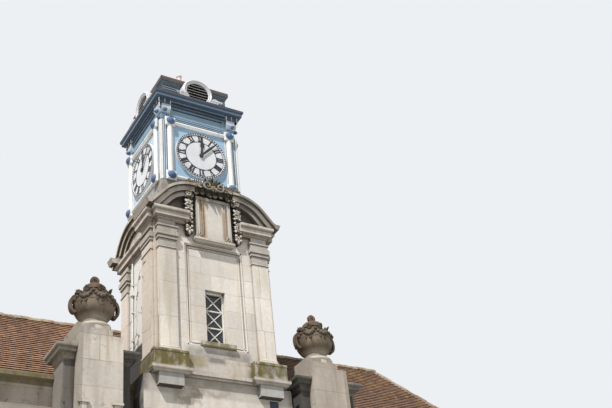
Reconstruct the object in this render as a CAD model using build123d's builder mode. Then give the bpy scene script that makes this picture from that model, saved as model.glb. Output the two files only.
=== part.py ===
from build123d import *
from math import cos, radians, sin, tan
import os

os.makedirs("parts", exist_ok=True)

# A stone railway station: a hollow main block under a hipped tile roof, and a clock tower
# that stands forward at its centre between two screen walls with urns.
# Millimetres. X runs along the front, Y to the back, Z up from the ground.
# The tower's axis is at X = 0 and Y = 0, and the front faces -Y.

# Main block
block_half_length = 10870
block_front = -1000
block_back = 5800
wall = 600
base_height = 150
floor_thick = 300
floor_level = 4950
wall_top = 9700
parapet_thick = 300
parapet_top = 10260
coping_height = 180
coping_over = 70

# Main roof
roof_foot_inset = 422
roof_pitch = 52.2
roof_thick = 260
roof_gap = 20

# Windows of the two storeys
window_width = 1200
window_height = 2300
window_reveal = 220
window_thick = 80
lower_sill = 1250
upper_sill = 6000
front_bay_first = 5150
front_bay_step = 2150
front_bays = 3
back_bay_step = 2900
back_bays = 7
end_bay_step = 2700
end_bays = 2

# Screen walls: a pier on each side of the tower, in front of the main wall
wing_near = 2200
wing_half = 3740
wing_front = -1570
wing_top = 10600
wing_cornice_height = 290
wing_cornice_over = 190

# Pedestals against the piers, with stepped tops and two small impost caps each
pedestal_centre = 2955
pedestal_width = 1010
pedestal_front = -1800
pedestal_depth = 1080
pedestal_top = 11310
pedestal_step = 140
pedestal_cap_width = 760
pedestal_cap_inset = 180
pedestal_cap_height = 180
impost_top = 9600
impost_width = 250
impost_height = 60
impost_out = 55
impost_shank = 150

# Urns
urn_base_radius = 370
urn_base_height = 280
urn_neck_height = 170
urn_body_height = 690
urn_radius = 480
urn_shoulder = 280
urn_collar_height = 50
urn_rim_radius = 262
urn_rim_height = 95
urn_lid_height = 110
urn_handle_height = 450
urn_handle_width = 230
urn_ring_radius = 108

# Tower shaft below the plinth
shaft_half = 1900
shaft_front = -1600
shaft_back = 1500
shaft_wall = 700
shaft_top = 10505
arch_width = 1500
arch_spring = 2500
stair_window_width = 900
stair_window_height = 2200
stair_window_sill = 5700

# Tower plinth in three courses, with pedestal blocks and brackets at the pilasters
plinth_band = 140
plinth_die = 355
plinth_cap = 80
plinth_over = 45
band_over = 90
block_over = 85
block_width = 880
plinth_dip = 130
bracket_width = 610
bracket_height = 300
bracket_depth = 170

# Stone stage: a square body about the tower's axis and a wider pavilion in front of it
body_half = 1280
stage_front_half = 1513
stage_front = -1630
stage_half = 1650
corner_depth = 130
pavilion_depth = 700
stage_room_half = 860
stage_height = 5220
core_half = 1180
pilaster_width = 450
pilaster_inset = 75
pilaster_depth = 75
pilaster_foot = 120
capital_foot = 2750
capital_height = 650
frieze_height = 150
stage_cornice_height = 320
stage_cornice_over = 180
cornice_inner = 720
recess_half = 800
recess_foot = 255
recess_height = 2795
recess_depth = 40

# Lattice window in the front of the stone stage
lattice_width = 540
lattice_foot = 370
lattice_height = 1460
lattice_reveal = 190
lattice_thick = 70
lattice_sill_half = 440
lattice_sill_height = 110
lattice_sill_over = 50

# Open pediment with ogee ends
ogee_centre = 620
ogee_radius = 1070
ogee_drop = 190
ogee_turn = 50
ogee_tip = 1900
ogee_tip_rise = 145
ogee_end_radius = 160
pediment_layers = (70, 150, 130)
pediment_steps = (200, 140, 70)
side_pediment_cut = 80

# Tablet with its sill, fruit drops and garland
tablet_half = 490
tablet_foot = 3220
tablet_height = 1260
tablet_thick = 110
tablet_sill_half = 560
tablet_sill_height = 120
tablet_sill_over = 150
drop_centre = 690
drop_width = 220
garland_half = 740
garland_foot = 4480
garland_height = 520

# Clock stage and its dials
clock_half = 1160
clock_wall = 200
clock_height = 2050
dial_rise = 1050
dial_radius = 755
dial_thick = 60
dial_rim = 55
arbor_hole = 90
roll_centre = 905
roll_radius = 75
roll_foot = 145
roll_span = 1837
boss_radius = 125
boss_height = 75
boss_block = 240
boss_block_out = 110

# Frieze and cornice above the dials
frieze_half = 1130
clock_frieze_height = 620
slot_half = 770
slot_height = 90
slot_drop = 90
slot_depth = 70
frieze_bracket_width = 260
frieze_bracket_height = 330
frieze_bracket_out = 85
frieze_ball_radius = 62
clock_cornice_height = 283
clock_cornice_half = 1367

# Attic, round dormers and cap
attic_half = 980
attic_wall = 150
attic_height = 657
attic_coping_over = 90
attic_coping_height = 80
oculus_rise = 387
oculus_radius = 470
oculus_hole = 390
oculus_out = 1250
oculus_back = 700
oculus_recess = 120
oculus_plate = 60
cap_height = 720
cap_neck = 130
cap_thick = 80
finial_radius = 85
finial_height = 690

# Clock hands
fit = 0.05
minute_blade = (740, 30, 0.12, 37, 0.4)
hour_blade = (500, 27, 0.52, 62, 0.72)
hand_thick = 8
hand_gap = 14
arbor_radius = 20
pipe_radius = 32
hub_radius = 60
collar_thick = 14
collar_gap = 6
minute_angle = 43
hour_angle = 7

SIDES = {"front": 0, "right": 90, "back": 180, "left": 270}


def face_plane(angle, distance, along=0):
    """A plane on one side of the tower, its x to the right and its y up."""
    a = radians(angle)
    out = (sin(a), -cos(a), 0)
    right = (cos(a), sin(a), 0)
    origin = tuple(o * distance + r * along for o, r in zip(out, right))
    return Plane(origin=origin, x_dir=right, z_dir=out)


def keep(piece, node):
    """Label one finished piece and write it."""
    piece.part.label = node
    export_step(piece.part, f"parts/{node}.step")


def box_between(low, high, mode=Mode.ADD):
    """A box given by two opposite corners, inside the open part."""
    size = [b - a for a, b in zip(low, high)]
    middle = [(a + b) / 2 for a, b in zip(low, high)]
    with Locations(tuple(middle)):
        Box(*size, mode=mode)


def half_section(plane, reach, outline):
    """A symmetric section: outline is (projection, height, bulge) from bottom to top."""
    points = [(reach + p, z) for p, z, _ in outline]
    with BuildSketch(plane) as section:
        with BuildLine():
            Line((-points[0][0], points[0][1]), points[0])
            for i in range(1, len(points)):
                bulge = outline[i][2]
                a, b = points[i - 1], points[i]
                ma, mb = (-a[0], a[1]), (-b[0], b[1])
                if bulge:
                    SagittaArc(a, b, bulge)
                    SagittaArc(mb, ma, bulge)
                else:
                    Line(a, b)
                    Line(mb, ma)
            Line(points[-1], (-points[-1][0], points[-1][1]))
        make_face()
    return section.sketch


def moulded_block(x_low, x_high, y_low, y_high, outline, mode=Mode.ADD):
    """A block whose four sides carry one moulding, mitred at the corners."""
    xm, ym = (x_low + x_high) / 2, (y_low + y_high) / 2
    hx, hy = (x_high - x_low) / 2, (y_high - y_low) / 2
    far = max(p for p, _, _ in outline)
    across = half_section(Plane((xm, ym, 0), x_dir=(1, 0, 0), z_dir=(0, -1, 0)), hx, outline)
    along = half_section(Plane((xm, ym, 0), x_dir=(0, 1, 0), z_dir=(1, 0, 0)), hy, outline)
    with BuildPart(mode=Mode.PRIVATE) as block:
        extrude(across, amount=hy + far, both=True)
        extrude(along, amount=hx + far, both=True, mode=Mode.INTERSECT)
    add(block.part, mode=mode)


# Levels and places worked out from the sizes above
coping_top = parapet_top + coping_height
inner_half = block_half_length - wall
inner_front = block_front + wall
inner_back = block_back - wall
roof_half_depth = (block_back - block_front) / 2 - roof_foot_inset
roof_middle = (block_back + block_front) / 2
roof_half_length = block_half_length - roof_foot_inset
roof_rise = roof_half_depth * tan(radians(roof_pitch))
plinth_low = shaft_top
die_low = plinth_low + plinth_band
cap_low = die_low + plinth_die
plinth_top = cap_low + plinth_cap
stage_top = plinth_top + stage_height
capital_low = plinth_top + capital_foot
frieze_low = capital_low + capital_height
frieze_top = frieze_low + frieze_height
cornice_top = frieze_top + stage_cornice_height
lattice_low = plinth_top + lattice_foot
dial_level = stage_top + dial_rise
clock_top = stage_top + clock_height
clock_frieze_top = clock_top + clock_frieze_height
clock_cornice_top = clock_frieze_top + clock_cornice_height
attic_top = clock_cornice_top + attic_height
attic_coping_top = attic_top + attic_coping_height
oculus_level = clock_cornice_top + oculus_rise
corner_near = stage_front + corner_depth
pavilion_back = stage_front + pavilion_depth


def tower_outline(grow=0):
    """Plan of the shaft, drawn in the open sketch."""
    with Locations((0, (shaft_front + shaft_back) / 2)):
        Rectangle(2 * (shaft_half + grow), shaft_back - shaft_front + 2 * grow)


# Ground floor: one slab of the building's own outline, which all walls stand on
with BuildPart() as ground_floor:
    with BuildSketch():
        with Locations((0, (block_front + block_back) / 2)):
            Rectangle(2 * block_half_length, block_back - block_front)
        with Locations((0, (wing_front + block_front) / 2)):
            Rectangle(2 * wing_half, block_front - wing_front)
        for side in (-1, 1):
            with Locations((side * pedestal_centre, (pedestal_front + block_front) / 2)):
                Rectangle(pedestal_width, block_front - pedestal_front)
        tower_outline()
    extrude(amount=base_height)
keep(ground_floor, "ground_floor")

# Upper floor, between the walls and around the tower
with BuildPart() as upper_floor:
    with BuildSketch(Plane.XY.offset(floor_level - floor_thick)):
        with Locations((0, (inner_front + inner_back) / 2)):
            Rectangle(2 * inner_half, inner_back - inner_front)
        with Locations((0, (shaft_front + shaft_back) / 2)):
            Rectangle(2 * shaft_half, shaft_back - shaft_front, mode=Mode.SUBTRACT)
    extrude(amount=floor_thick)
keep(upper_floor, "upper_floor")


def window_rows(columns, plane):
    """Cut both storeys' openings through the open wall."""
    middle = (lower_sill + window_height / 2, upper_sill + window_height / 2)
    with BuildSketch(plane) as holes:
        with Locations(*[(x, z) for x in columns for z in middle]):
            Rectangle(window_width, window_height)
    extrude(holes.sketch, amount=wall, both=True, mode=Mode.SUBTRACT)


front_columns = [front_bay_first + i * front_bay_step for i in range(front_bays)]
back_columns = [(i - (back_bays - 1) / 2) * back_bay_step for i in range(back_bays)]
end_columns = [roof_middle + (i - (end_bays - 1) / 2) * end_bay_step for i in range(end_bays)]

# Front wall, one length each side of the tower
with BuildPart() as front_walls:
    for side in (-1, 1):
        low, high = sorted((side * shaft_half, side * block_half_length))
        box_between((low, block_front, base_height), (high, inner_front, wall_top))
        window_rows([side * x for x in front_columns], face_plane(0, -block_front))
keep(front_walls, "front_walls")

# End walls and back wall
with BuildPart() as end_walls:
    for side in (-1, 1):
        low, high = sorted((side * inner_half, side * block_half_length))
        box_between((low, inner_front, base_height), (high, inner_back, wall_top))
        window_rows(end_columns, Plane((low, 0, 0), x_dir=(0, 1, 0), z_dir=(1, 0, 0)))
keep(end_walls, "end_walls")

with BuildPart() as back_wall:
    box_between((-block_half_length, inner_back, base_height),
                (block_half_length, block_back, wall_top))
    window_rows(back_columns, face_plane(0, -inner_back))
keep(back_wall, "back_wall")

# One glazed leaf in each opening of the storeys and in the tower's stair window
with BuildPart() as storey_windows:
    for z in (lower_sill, upper_sill):
        for x in front_columns:
            for side in (-1, 1):
                with Locations((side * x, block_front + window_reveal, z + window_height / 2)):
                    Box(window_width, window_thick, window_height)
        for x in back_columns:
            with Locations((x, block_back - window_reveal, z + window_height / 2)):
                Box(window_width, window_thick, window_height)
        for y in end_columns:
            for side in (-1, 1):
                with Locations((side * (block_half_length - window_reveal), y,
                                z + window_height / 2)):
                    Box(window_thick, window_width, window_height)
    with Locations((0, shaft_front + window_reveal,
                    stair_window_sill + stair_window_height / 2)):
        Box(stair_window_width, window_thick, stair_window_height)
keep(storey_windows, "storey_windows")

# Parapet and its coping, which stop against the tower and the screen walls
with BuildPart() as parapet:
    with BuildSketch(Plane.XY.offset(wall_top)):
        with Locations((0, roof_middle)):
            Rectangle(2 * block_half_length, block_back - block_front)
            Rectangle(2 * (block_half_length - parapet_thick),
                      block_back - block_front - 2 * parapet_thick, mode=Mode.SUBTRACT)
        with Locations((0, block_front)):
            Rectangle(2 * shaft_half, 4 * parapet_thick, mode=Mode.SUBTRACT)
    extrude(amount=parapet_top - wall_top)
keep(parapet, "parapet")

with BuildPart() as parapet_coping:
    over = coping_over
    moulded_block(-block_half_length, block_half_length, block_front, block_back,
                  [(0, parapet_top, 0), (over - 20, parapet_top + 30, 0),
                   (over, parapet_top + 50, 0), (over, coping_top - 40, 0),
                   (over - 40, coping_top, 0)])
    inset = parapet_thick + coping_over
    box_between((inset - block_half_length, block_front + inset, parapet_top),
                (block_half_length - inset, block_back - inset, coping_top), Mode.SUBTRACT)
    box_between((-shaft_half, block_front - wall, parapet_top),
                (shaft_half, block_front + wall, coping_top), Mode.SUBTRACT)
    for low, high in ((-wing_half, -wing_near), (wing_near, wing_half)):
        box_between((low, wing_front, parapet_top), (high, block_front, coping_top),
                    Mode.SUBTRACT)
keep(parapet_coping, "parapet_coping")


def hipped(half_length, half_depth, foot, pitch):
    """A solid hipped roof with its ridge along X, in the open part."""
    rise = half_depth * tan(radians(pitch))
    with BuildSketch(Plane((0, roof_middle, 0), x_dir=(0, 1, 0), z_dir=(1, 0, 0))) as gable:
        with BuildLine():
            Polyline((-half_depth, foot), (half_depth, foot), (0, foot + rise), close=True)
        make_face()
    extrude(gable.sketch, amount=half_length, both=True)
    with BuildSketch(Plane((0, roof_middle, 0), x_dir=(1, 0, 0), z_dir=(0, -1, 0))) as front:
        with BuildLine():
            Polyline((-half_length, foot), (half_length, foot),
                     (half_length - half_depth, foot + rise),
                     (half_depth - half_length, foot + rise), close=True)
        make_face()
    extrude(front.sketch, amount=half_depth, both=True, mode=Mode.INTERSECT)


# Main roof: a hollow hipped shell that stands on the wall heads and stops around the tower
shell_inset = roof_thick / tan(radians(roof_pitch))
with BuildPart() as roof_void:
    hipped(roof_half_length - shell_inset, roof_half_depth - shell_inset, wall_top, roof_pitch)
with BuildPart() as main_roof:
    hipped(roof_half_length, roof_half_depth, wall_top, roof_pitch)
    add(roof_void.part, mode=Mode.SUBTRACT)
    box_between((-shaft_half - roof_gap, shaft_front, wall_top),
                (shaft_half + roof_gap, shaft_back + roof_gap, wall_top + roof_rise),
                Mode.SUBTRACT)
keep(main_roof, "main_roof")

# Screen walls: they back on to the main wall and rise above its parapet
wing_spans = ((-wing_half, -wing_near), (wing_near, wing_half))
with BuildPart() as screen_walls:
    for low, high in wing_spans:
        box_between((low, wing_front, base_height), (high, block_front, wing_top))
keep(screen_walls, "screen_walls")

# Moulded cornice round each screen wall, broken by the pedestal
cornice_outline = [(0, 0, 0), (25, 45, 0), (45, 75, 0), (60, 120, 12), (130, 130, 0),
                   (135, 190, 0), (150, 205, 0), (wing_cornice_over, 260, -12),
                   (wing_cornice_over, wing_cornice_height, 0)]
pedestal_spans = [(side * pedestal_centre - pedestal_width / 2,
                   side * pedestal_centre + pedestal_width / 2) for side in (-1, 1)]
head_low = wing_top + wing_cornice_height
with BuildPart() as screen_cornices:
    levels = [(p, wing_top + z, b) for p, z, b in cornice_outline]
    for low, high in wing_spans:
        moulded_block(low, high, wing_front, block_front, levels)
    for low, high in pedestal_spans:
        box_between((low, pedestal_front, wing_top), (high, wing_front, head_low), Mode.SUBTRACT)
keep(screen_cornices, "screen_cornices")

# Pedestals: a tall shaft on the pier's face and a stepped head over the cornice
step_top = pedestal_top - pedestal_step
cap_top = pedestal_top + pedestal_cap_height
pedestal_back = pedestal_front + pedestal_depth
with BuildPart() as pedestals:
    for low, high in pedestal_spans:
        near = low + pedestal_cap_width
        box_between((low, pedestal_front, base_height), (high, wing_front, head_low))
        box_between((low, pedestal_front, head_low), (high, pedestal_back, step_top))
        box_between((low, pedestal_front, step_top), (near, pedestal_back, pedestal_top))
        box_between((low, pedestal_front + pedestal_cap_inset, pedestal_top),
                    (near, pedestal_back, cap_top))
        for x in (low + impost_width / 2, high - impost_width / 2):
            out = pedestal_front - impost_out
            box_between((x - impost_width / 2, out, impost_top - impost_height),
                        (x + impost_width / 2, pedestal_front, impost_top))
            box_between((x - impost_shank / 2, out + impost_out / 2, base_height),
                        (x + impost_shank / 2, pedestal_front, impost_top - impost_height))
keep(pedestals, "pedestals")

# Urns: turned stone bodies on a round base, with a rimmed lid, scroll handles and a ring
base_top = pedestal_top + urn_base_height
neck_top = base_top + urn_neck_height
body_high = neck_top + urn_body_height
rim_low = body_high + urn_collar_height
rim_high = rim_low + urn_rim_height
lid_high = rim_high + urn_lid_height
neck_radius = urn_base_radius - urn_base_height / 4
with BuildPart() as urn:
    with BuildSketch(Plane.XZ) as turned:
        with BuildLine():
            r = urn_base_radius
            Line((0, pedestal_top), (r, pedestal_top))
            Line((r, pedestal_top), (r, base_top - urn_base_height / 3))
            ThreePointArc((r, base_top - urn_base_height / 3),
                          (r + 0.06 * r, base_top - urn_base_height / 6), (r, base_top))
            Line((r, base_top), (neck_radius, base_top))
            ThreePointArc((neck_radius, base_top),
                          (0.93 * neck_radius, base_top + urn_neck_height / 2),
                          (neck_radius, neck_top))
            ThreePointArc((neck_radius, neck_top),
                          (0.9 * urn_radius, neck_top + 0.22 * urn_body_height),
                          (urn_radius, neck_top + urn_body_height / 2))
            ThreePointArc((urn_radius, neck_top + urn_body_height / 2),
                          (0.85 * urn_radius, neck_top + 0.79 * urn_body_height),
                          (urn_shoulder, body_high))
            Line((urn_shoulder, body_high), (0.84 * urn_shoulder, body_high))
            Line((0.84 * urn_shoulder, body_high), (0.84 * urn_shoulder, rim_low))
            Line((0.84 * urn_shoulder, rim_low), (urn_rim_radius, rim_low))
            Line((urn_rim_radius, rim_low), (urn_rim_radius, rim_high))
            ThreePointArc((urn_rim_radius, rim_high),
                          (0.57 * urn_rim_radius, rim_high + 0.78 * urn_lid_height),
                          (0.2 * urn_rim_radius, lid_high))
            Line((0.2 * urn_rim_radius, lid_high), (0, lid_high))
            Line((0, lid_high), (0, pedestal_top))
        make_face()
    revolve(turned.sketch, axis=Axis.Z)
    for side in (-1, 1):
        with BuildSketch(Plane.XZ) as handle:
            with Locations((side * urn_radius, neck_top + 0.48 * urn_body_height)):
                Ellipse(urn_handle_width / 2, urn_handle_height / 2)
                Ellipse(urn_handle_width / 4, urn_handle_height / 3, mode=Mode.SUBTRACT)
            with Locations((side * 0.82 * urn_radius, body_high - urn_rim_height / 3)):
                Circle(urn_handle_width / 4)
        extrude(handle.sketch, amount=0.3 * urn_handle_width, both=True)
    with BuildSketch(Plane.XZ) as ring:
        with Locations((0, lid_high + 0.88 * urn_ring_radius)):
            Circle(urn_ring_radius)
            Circle(0.4 * urn_ring_radius, mode=Mode.SUBTRACT)
    extrude(ring.sketch, amount=0.3 * urn_ring_radius, both=True)
    with BuildSketch(Plane.XY.offset(pedestal_top)) as seat:
        with Locations((pedestal_cap_width / 2 - pedestal_width / 2, pedestal_cap_inset / 2)):
            Rectangle(pedestal_cap_width, pedestal_depth - pedestal_cap_inset)
    extrude(seat.sketch, amount=pedestal_cap_height, mode=Mode.SUBTRACT)
with BuildPart() as urns:
    for side in (-1, 1):
        with Locations((side * pedestal_centre, pedestal_front + pedestal_depth / 2, 0)):
            add(urn.part)
keep(urns, "urns")

# Tower shaft: four walls down to the base, with an arch through the front and the back
with BuildPart() as tower_shaft:
    box_between((-shaft_half, shaft_front, base_height), (shaft_half, shaft_back, shaft_top))
    box_between((shaft_wall - shaft_half, shaft_front + shaft_wall, base_height),
                (shaft_half - shaft_wall, shaft_back - shaft_wall, shaft_top), Mode.SUBTRACT)
    with BuildSketch(face_plane(0, -shaft_front)) as arches:
        with Locations((0, (base_height + arch_spring) / 2)):
            Rectangle(arch_width, arch_spring - base_height)
        with Locations((0, arch_spring)):
            Circle(arch_width / 2)
    extrude(arches.sketch, amount=-(shaft_back - shaft_front), mode=Mode.SUBTRACT)
    with BuildSketch(face_plane(0, -shaft_front)) as stair_window:
        with Locations((0, stair_window_sill + stair_window_height / 2)):
            Rectangle(stair_window_width, stair_window_height)
    extrude(stair_window.sketch, amount=-shaft_wall, mode=Mode.SUBTRACT)
keep(tower_shaft, "tower_shaft")


def placed(unit, spots, node):
    """Copies of one unit, each at (x, y, angle about Z), written as one node."""
    with BuildPart() as group:
        for x, y, angle in spots:
            with Locations(Location((x, y, 0), (0, 0, angle))):
                add(unit)
    keep(group, node)


# Pilasters stand at both ends of the front, and at the back corners of the body
front_at = stage_front_half - pilaster_width / 2
body_at = body_half - pilaster_width / 2 - pilaster_inset
front_spots = [(side * front_at, stage_front, 0) for side in (-1, 1)]
rear_spots = [(side * body_half, body_at, side * 90) for side in (-1, 1)]
rear_spots += [(side * body_at, body_half, 180) for side in (-1, 1)]


def pavilion_plan(grow):
    """Plan of the pavilion with its stepped front corners, in the open sketch."""
    middle_step = (stage_half + stage_front_half) / 2
    for half, low in ((stage_front_half, stage_front),
                      (middle_step, stage_front + corner_depth / 2), (stage_half, corner_near)):
        with Locations((0, (low + pavilion_back) / 2)):
            Rectangle(2 * (half + grow), pavilion_back - low + 2 * grow)


def stage_plan(grow):
    """Plan of the whole stone stage, in the open sketch."""
    pavilion_plan(grow)
    Rectangle(2 * (body_half + grow), 2 * (body_half + grow))


def stage_room():
    """Plan of the open space inside the stone stage, cut from the open sketch."""
    Rectangle(2 * stage_room_half, 2 * stage_room_half, mode=Mode.SUBTRACT)


def moulded_unit(half, depth, outline):
    """A block against a wall at local y = 0, moulded on its front and its two ends."""
    low, high = outline[0][1], outline[-1][1]
    with BuildPart() as unit:
        moulded_block(-half, half, -depth, depth, outline)
        box_between((-2 * half, 0, low), (2 * half, 2 * half + depth, high), Mode.SUBTRACT)
    return unit.part


# Tower plinth: band, die and cap follow the stage's plan and step out under the pilasters
block_outline = [(0, plinth_low, 0), (30, plinth_low + 40, 0), (60, die_low - 30, -14),
                 (60, die_low, 0), (0, die_low + 15, 0), (0, cap_low, 0), (12, cap_low + 15, 0),
                 (12, cap_low + 40, 0), (0, plinth_top, 0)]
block_depth = pilaster_depth + block_over
front_block = moulded_unit(block_width / 2, block_depth, block_outline)
with BuildPart() as tower_plinth:
    for low, high, grow in ((plinth_low, plinth_low + 50, band_over - 50),
                            (plinth_low + 50, die_low, band_over),
                            (die_low, cap_low, plinth_over), (cap_low, plinth_top, plinth_over - 20)):
        with BuildSketch(Plane.XY.offset(low)) as course:
            stage_plan(grow)
            stage_room()
        extrude(course.sketch, amount=high - low)
    for x, y, angle in front_spots:
        with Locations(Location((x, y, 0), (0, 0, angle))):
            add(front_block)
    dip_half = front_at - block_width / 2
    box_between((-dip_half, 2 * stage_front, plinth_top - plinth_dip),
                (dip_half, stage_front, plinth_top), Mode.SUBTRACT)
keep(tower_plinth, "tower_plinth")

# A bracket block under each front pedestal block, on the face of the shaft
bracket_top = plinth_low
bracket_outline = [(-12, bracket_top - bracket_height, 0), (0, bracket_top - bracket_height + 12, 0),
                   (0, bracket_top, 0)]
bracket = moulded_unit(bracket_width / 2, bracket_depth, bracket_outline)
bracket_spots = [(x, shaft_front, 0) for x, y, angle in front_spots]
placed(bracket, bracket_spots, "tower_brackets")

# Stone stage: hollow walls with a sunk panel and a window in the front
with BuildPart() as stage_walls:
    with BuildSketch(Plane.XY.offset(plinth_top)) as plan:
        stage_plan(0)
        stage_room()
    extrude(plan.sketch, amount=cornice_top - plinth_top)
    with BuildSketch(Plane.XY.offset(cornice_top)) as core:
        Rectangle(2 * core_half, 2 * core_half)
        stage_room()
    extrude(core.sketch, amount=stage_top - cornice_top)
    with BuildSketch(face_plane(0, -stage_front)) as panel:
        with Locations((0, plinth_top + recess_foot + recess_height / 2)):
            Rectangle(2 * recess_half, recess_height)
    extrude(panel.sketch, amount=-recess_depth, mode=Mode.SUBTRACT)
    with BuildSketch(face_plane(0, -stage_front)) as light:
        with Locations((0, lattice_low + lattice_height / 2)):
            Rectangle(lattice_width, lattice_height)
    extrude(light.sketch, amount=stage_front + stage_room_half, mode=Mode.SUBTRACT)
keep(stage_walls, "stage_walls")

# Pilasters with a moulded foot and capital, and the block of frieze above each
pilaster_outline = [
    (40, plinth_top, 0), (40, plinth_top + 40, 0), (25, plinth_top + 90, 10),
    (0, plinth_top + pilaster_foot, 0), (0, capital_low, 0), (20, capital_low + 10, 0),
    (20, capital_low + 45, 0), (0, capital_low + 60, 0), (0, capital_low + 240, 0),
    (30, capital_low + 260, 0), (30, capital_low + 330, 0), (55, capital_low + 390, -14),
    (60, capital_low + 470, 0), (25, capital_low + 490, 0), (30, frieze_low - 60, 0),
    (50, frieze_low - 10, -12), (50, frieze_low, 0), (0, frieze_low + 5, 0), (0, frieze_top, 0)]
pilaster = moulded_unit(pilaster_width / 2, pilaster_depth, pilaster_outline)
corner_bands = (
    [(0, plinth_top, 0), (32, plinth_top + 5, 0), (32, plinth_top + 45, 0), (0, plinth_top + 100, 10)],
    [(0, capital_low + 5, 0), (18, capital_low + 15, 0), (18, capital_low + 42, 0),
     (0, capital_low + 50, 0)],
    [(0, capital_low + 250, 0), (26, capital_low + 265, 0), (26, capital_low + 325, 0),
     (48, capital_low + 395, -12), (52, capital_low + 470, 0), (0, capital_low + 485, 0)],
    [(0, frieze_low - 65, 0), (24, frieze_low - 55, 0), (42, frieze_low - 12, -10),
     (42, frieze_low - 4, 0), (0, frieze_low, 0)])
with BuildPart() as pilasters:
    for band in corner_bands:
        moulded_block(-stage_front_half, stage_front_half, stage_front, pavilion_back, band)
        moulded_block(-stage_half, stage_half, corner_near, pavilion_back, band)
    with BuildSketch(Plane.XY.offset(plinth_low)) as core:
        pavilion_plan(0)
    extrude(core.sketch, amount=stage_top - plinth_low, mode=Mode.SUBTRACT)
    inner_reach = stage_front_half - pilaster_width
    box_between((-inner_reach, 2 * stage_front, plinth_low), (inner_reach, stage_half, stage_top),
                Mode.SUBTRACT)
    box_between((-2 * stage_half, pavilion_back, plinth_low),
                (2 * stage_half, 2 * stage_half, stage_top), Mode.SUBTRACT)
    for x, y, angle in front_spots + rear_spots:
        with Locations(Location((x, y, 0), (0, 0, angle))):
            add(pilaster)
keep(pilasters, "pilasters")

# Level cornice of the stage, which steps with the plan and leaves the front's middle open
over = stage_cornice_over
cornice_profile = [
    (0, frieze_top, 0), (30, frieze_top + 30, 0), (40, frieze_top + 70, 10),
    (over - 60, frieze_top + 90, 0), (over - 55, frieze_top + 200, 0),
    (over - 40, frieze_top + 215, 0), (over, cornice_top - 30, -14), (over, cornice_top, 0)]
with BuildPart() as stage_cornices:
    moulded_block(-stage_front_half, stage_front_half, stage_front - pilaster_depth,
                  pavilion_back, cornice_profile)
    moulded_block(-stage_half, stage_half, corner_near, pavilion_back, cornice_profile)
    reach = body_half
    moulded_block(-reach, reach, -reach, reach, cornice_profile)
    with BuildSketch(Plane.XY.offset(frieze_top)) as inside:
        stage_plan(0)
    extrude(inside.sketch, amount=stage_cornice_height, mode=Mode.SUBTRACT)
    box_between((-cornice_inner, 2 * stage_front, frieze_top),
                (cornice_inner, stage_front, cornice_top), Mode.SUBTRACT)
keep(stage_cornices, "stage_cornices")


def ogee_edge(grow, shift):
    """Points along one line of the pediment: an arch that turns out to a level tip."""
    turn = radians(ogee_turn)
    low = cornice_top - ogee_drop
    outer = ogee_radius - grow
    x0 = ogee_centre + shift
    top = (x0, low + outer)
    middle = (x0 + outer * sin(turn / 2), low + outer * cos(turn / 2))
    end = (x0 + outer * sin(turn), low + outer * cos(turn))
    level = cornice_top + ogee_tip_rise - grow * 0.6
    drop = end[1] - level - ogee_end_radius * (1 - cos(turn))
    foot = (end[0] + drop / tan(turn), end[1] - drop)
    landing = (foot[0] + ogee_end_radius * sin(turn), level)
    half_way = (landing[0] - ogee_end_radius * sin(turn / 2),
                level + ogee_end_radius * (1 - cos(turn / 2)))
    return top, middle, end, foot, half_way, landing


def ogee_top(inner, grow, shift):
    """Draw the upper line of the pediment in the open line builder, out to its tip."""
    top, middle, end, foot, half_way, landing = ogee_edge(grow, shift)
    tip = ogee_tip + shift - grow * 0.5
    Line((inner, top[1]), top)
    ThreePointArc(top, middle, end)
    Line(end, foot)
    ThreePointArc(foot, half_way, landing)
    Line(landing, (tip, landing[1]))
    Line((tip, landing[1]), (tip - 60, cornice_top))
    return (inner, top[1]), (tip - 60, cornice_top)


def ogee_band(grow, thick, shift, inner):
    """Section of one raised layer of half a pediment."""
    low_top, low_middle, low_end, _, _, _ = ogee_edge(grow + thick, shift)
    slide = (low_end[1] - cornice_top) / tan(radians(ogee_turn))
    foot = (low_end[0] + slide, cornice_top)
    with BuildSketch(Plane.XZ) as band:
        with BuildLine():
            start, tip = ogee_top(inner, grow, shift)
            Line(tip, foot)
            Line(foot, low_end)
            ThreePointArc(low_end, low_middle, low_top)
            Line(low_top, (inner, low_top[1]))
            Line((inner, low_top[1]), start)
        make_face()
    return band.sketch


def pediment_unit(half, inner, back, less=0):
    """Both halves of an arched pediment over a face, and the wall that backs them."""
    shift = half - stage_front_half
    with BuildPart() as unit:
        grow = 0
        for thick, step in zip(pediment_layers, pediment_steps):
            extrude(ogee_band(grow, thick, shift, inner), amount=pilaster_depth + step - less)
            grow += thick
        with BuildSketch(Plane.XZ) as backing:
            with BuildLine():
                start, tip = ogee_top(0, 0, shift)
                Line(tip, (0, cornice_top))
                Line((0, cornice_top), start)
            make_face()
        extrude(backing.sketch, amount=-back)
        mirror(about=Plane.YZ)
    return unit.part


# Pediments: the front one covers the pavilion, the others stand on the body's faces
front_pediment = pediment_unit(stage_front_half, tablet_half + 60, pavilion_depth)
body_pediment = pediment_unit(body_half, 0, body_half - core_half, side_pediment_cut)
with BuildPart() as pediments:
    with Locations((0, stage_front, 0)):
        add(front_pediment)
    for x, y, angle in ((body_half, 0, 90), (0, body_half, 180), (-body_half, 0, 270)):
        with Locations(Location((x, y, 0), (0, 0, angle))):
            add(body_pediment)
    box_between((-core_half, -core_half, cornice_top), (core_half, core_half, stage_top),
                Mode.SUBTRACT)
keep(pediments, "pediments")

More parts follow.
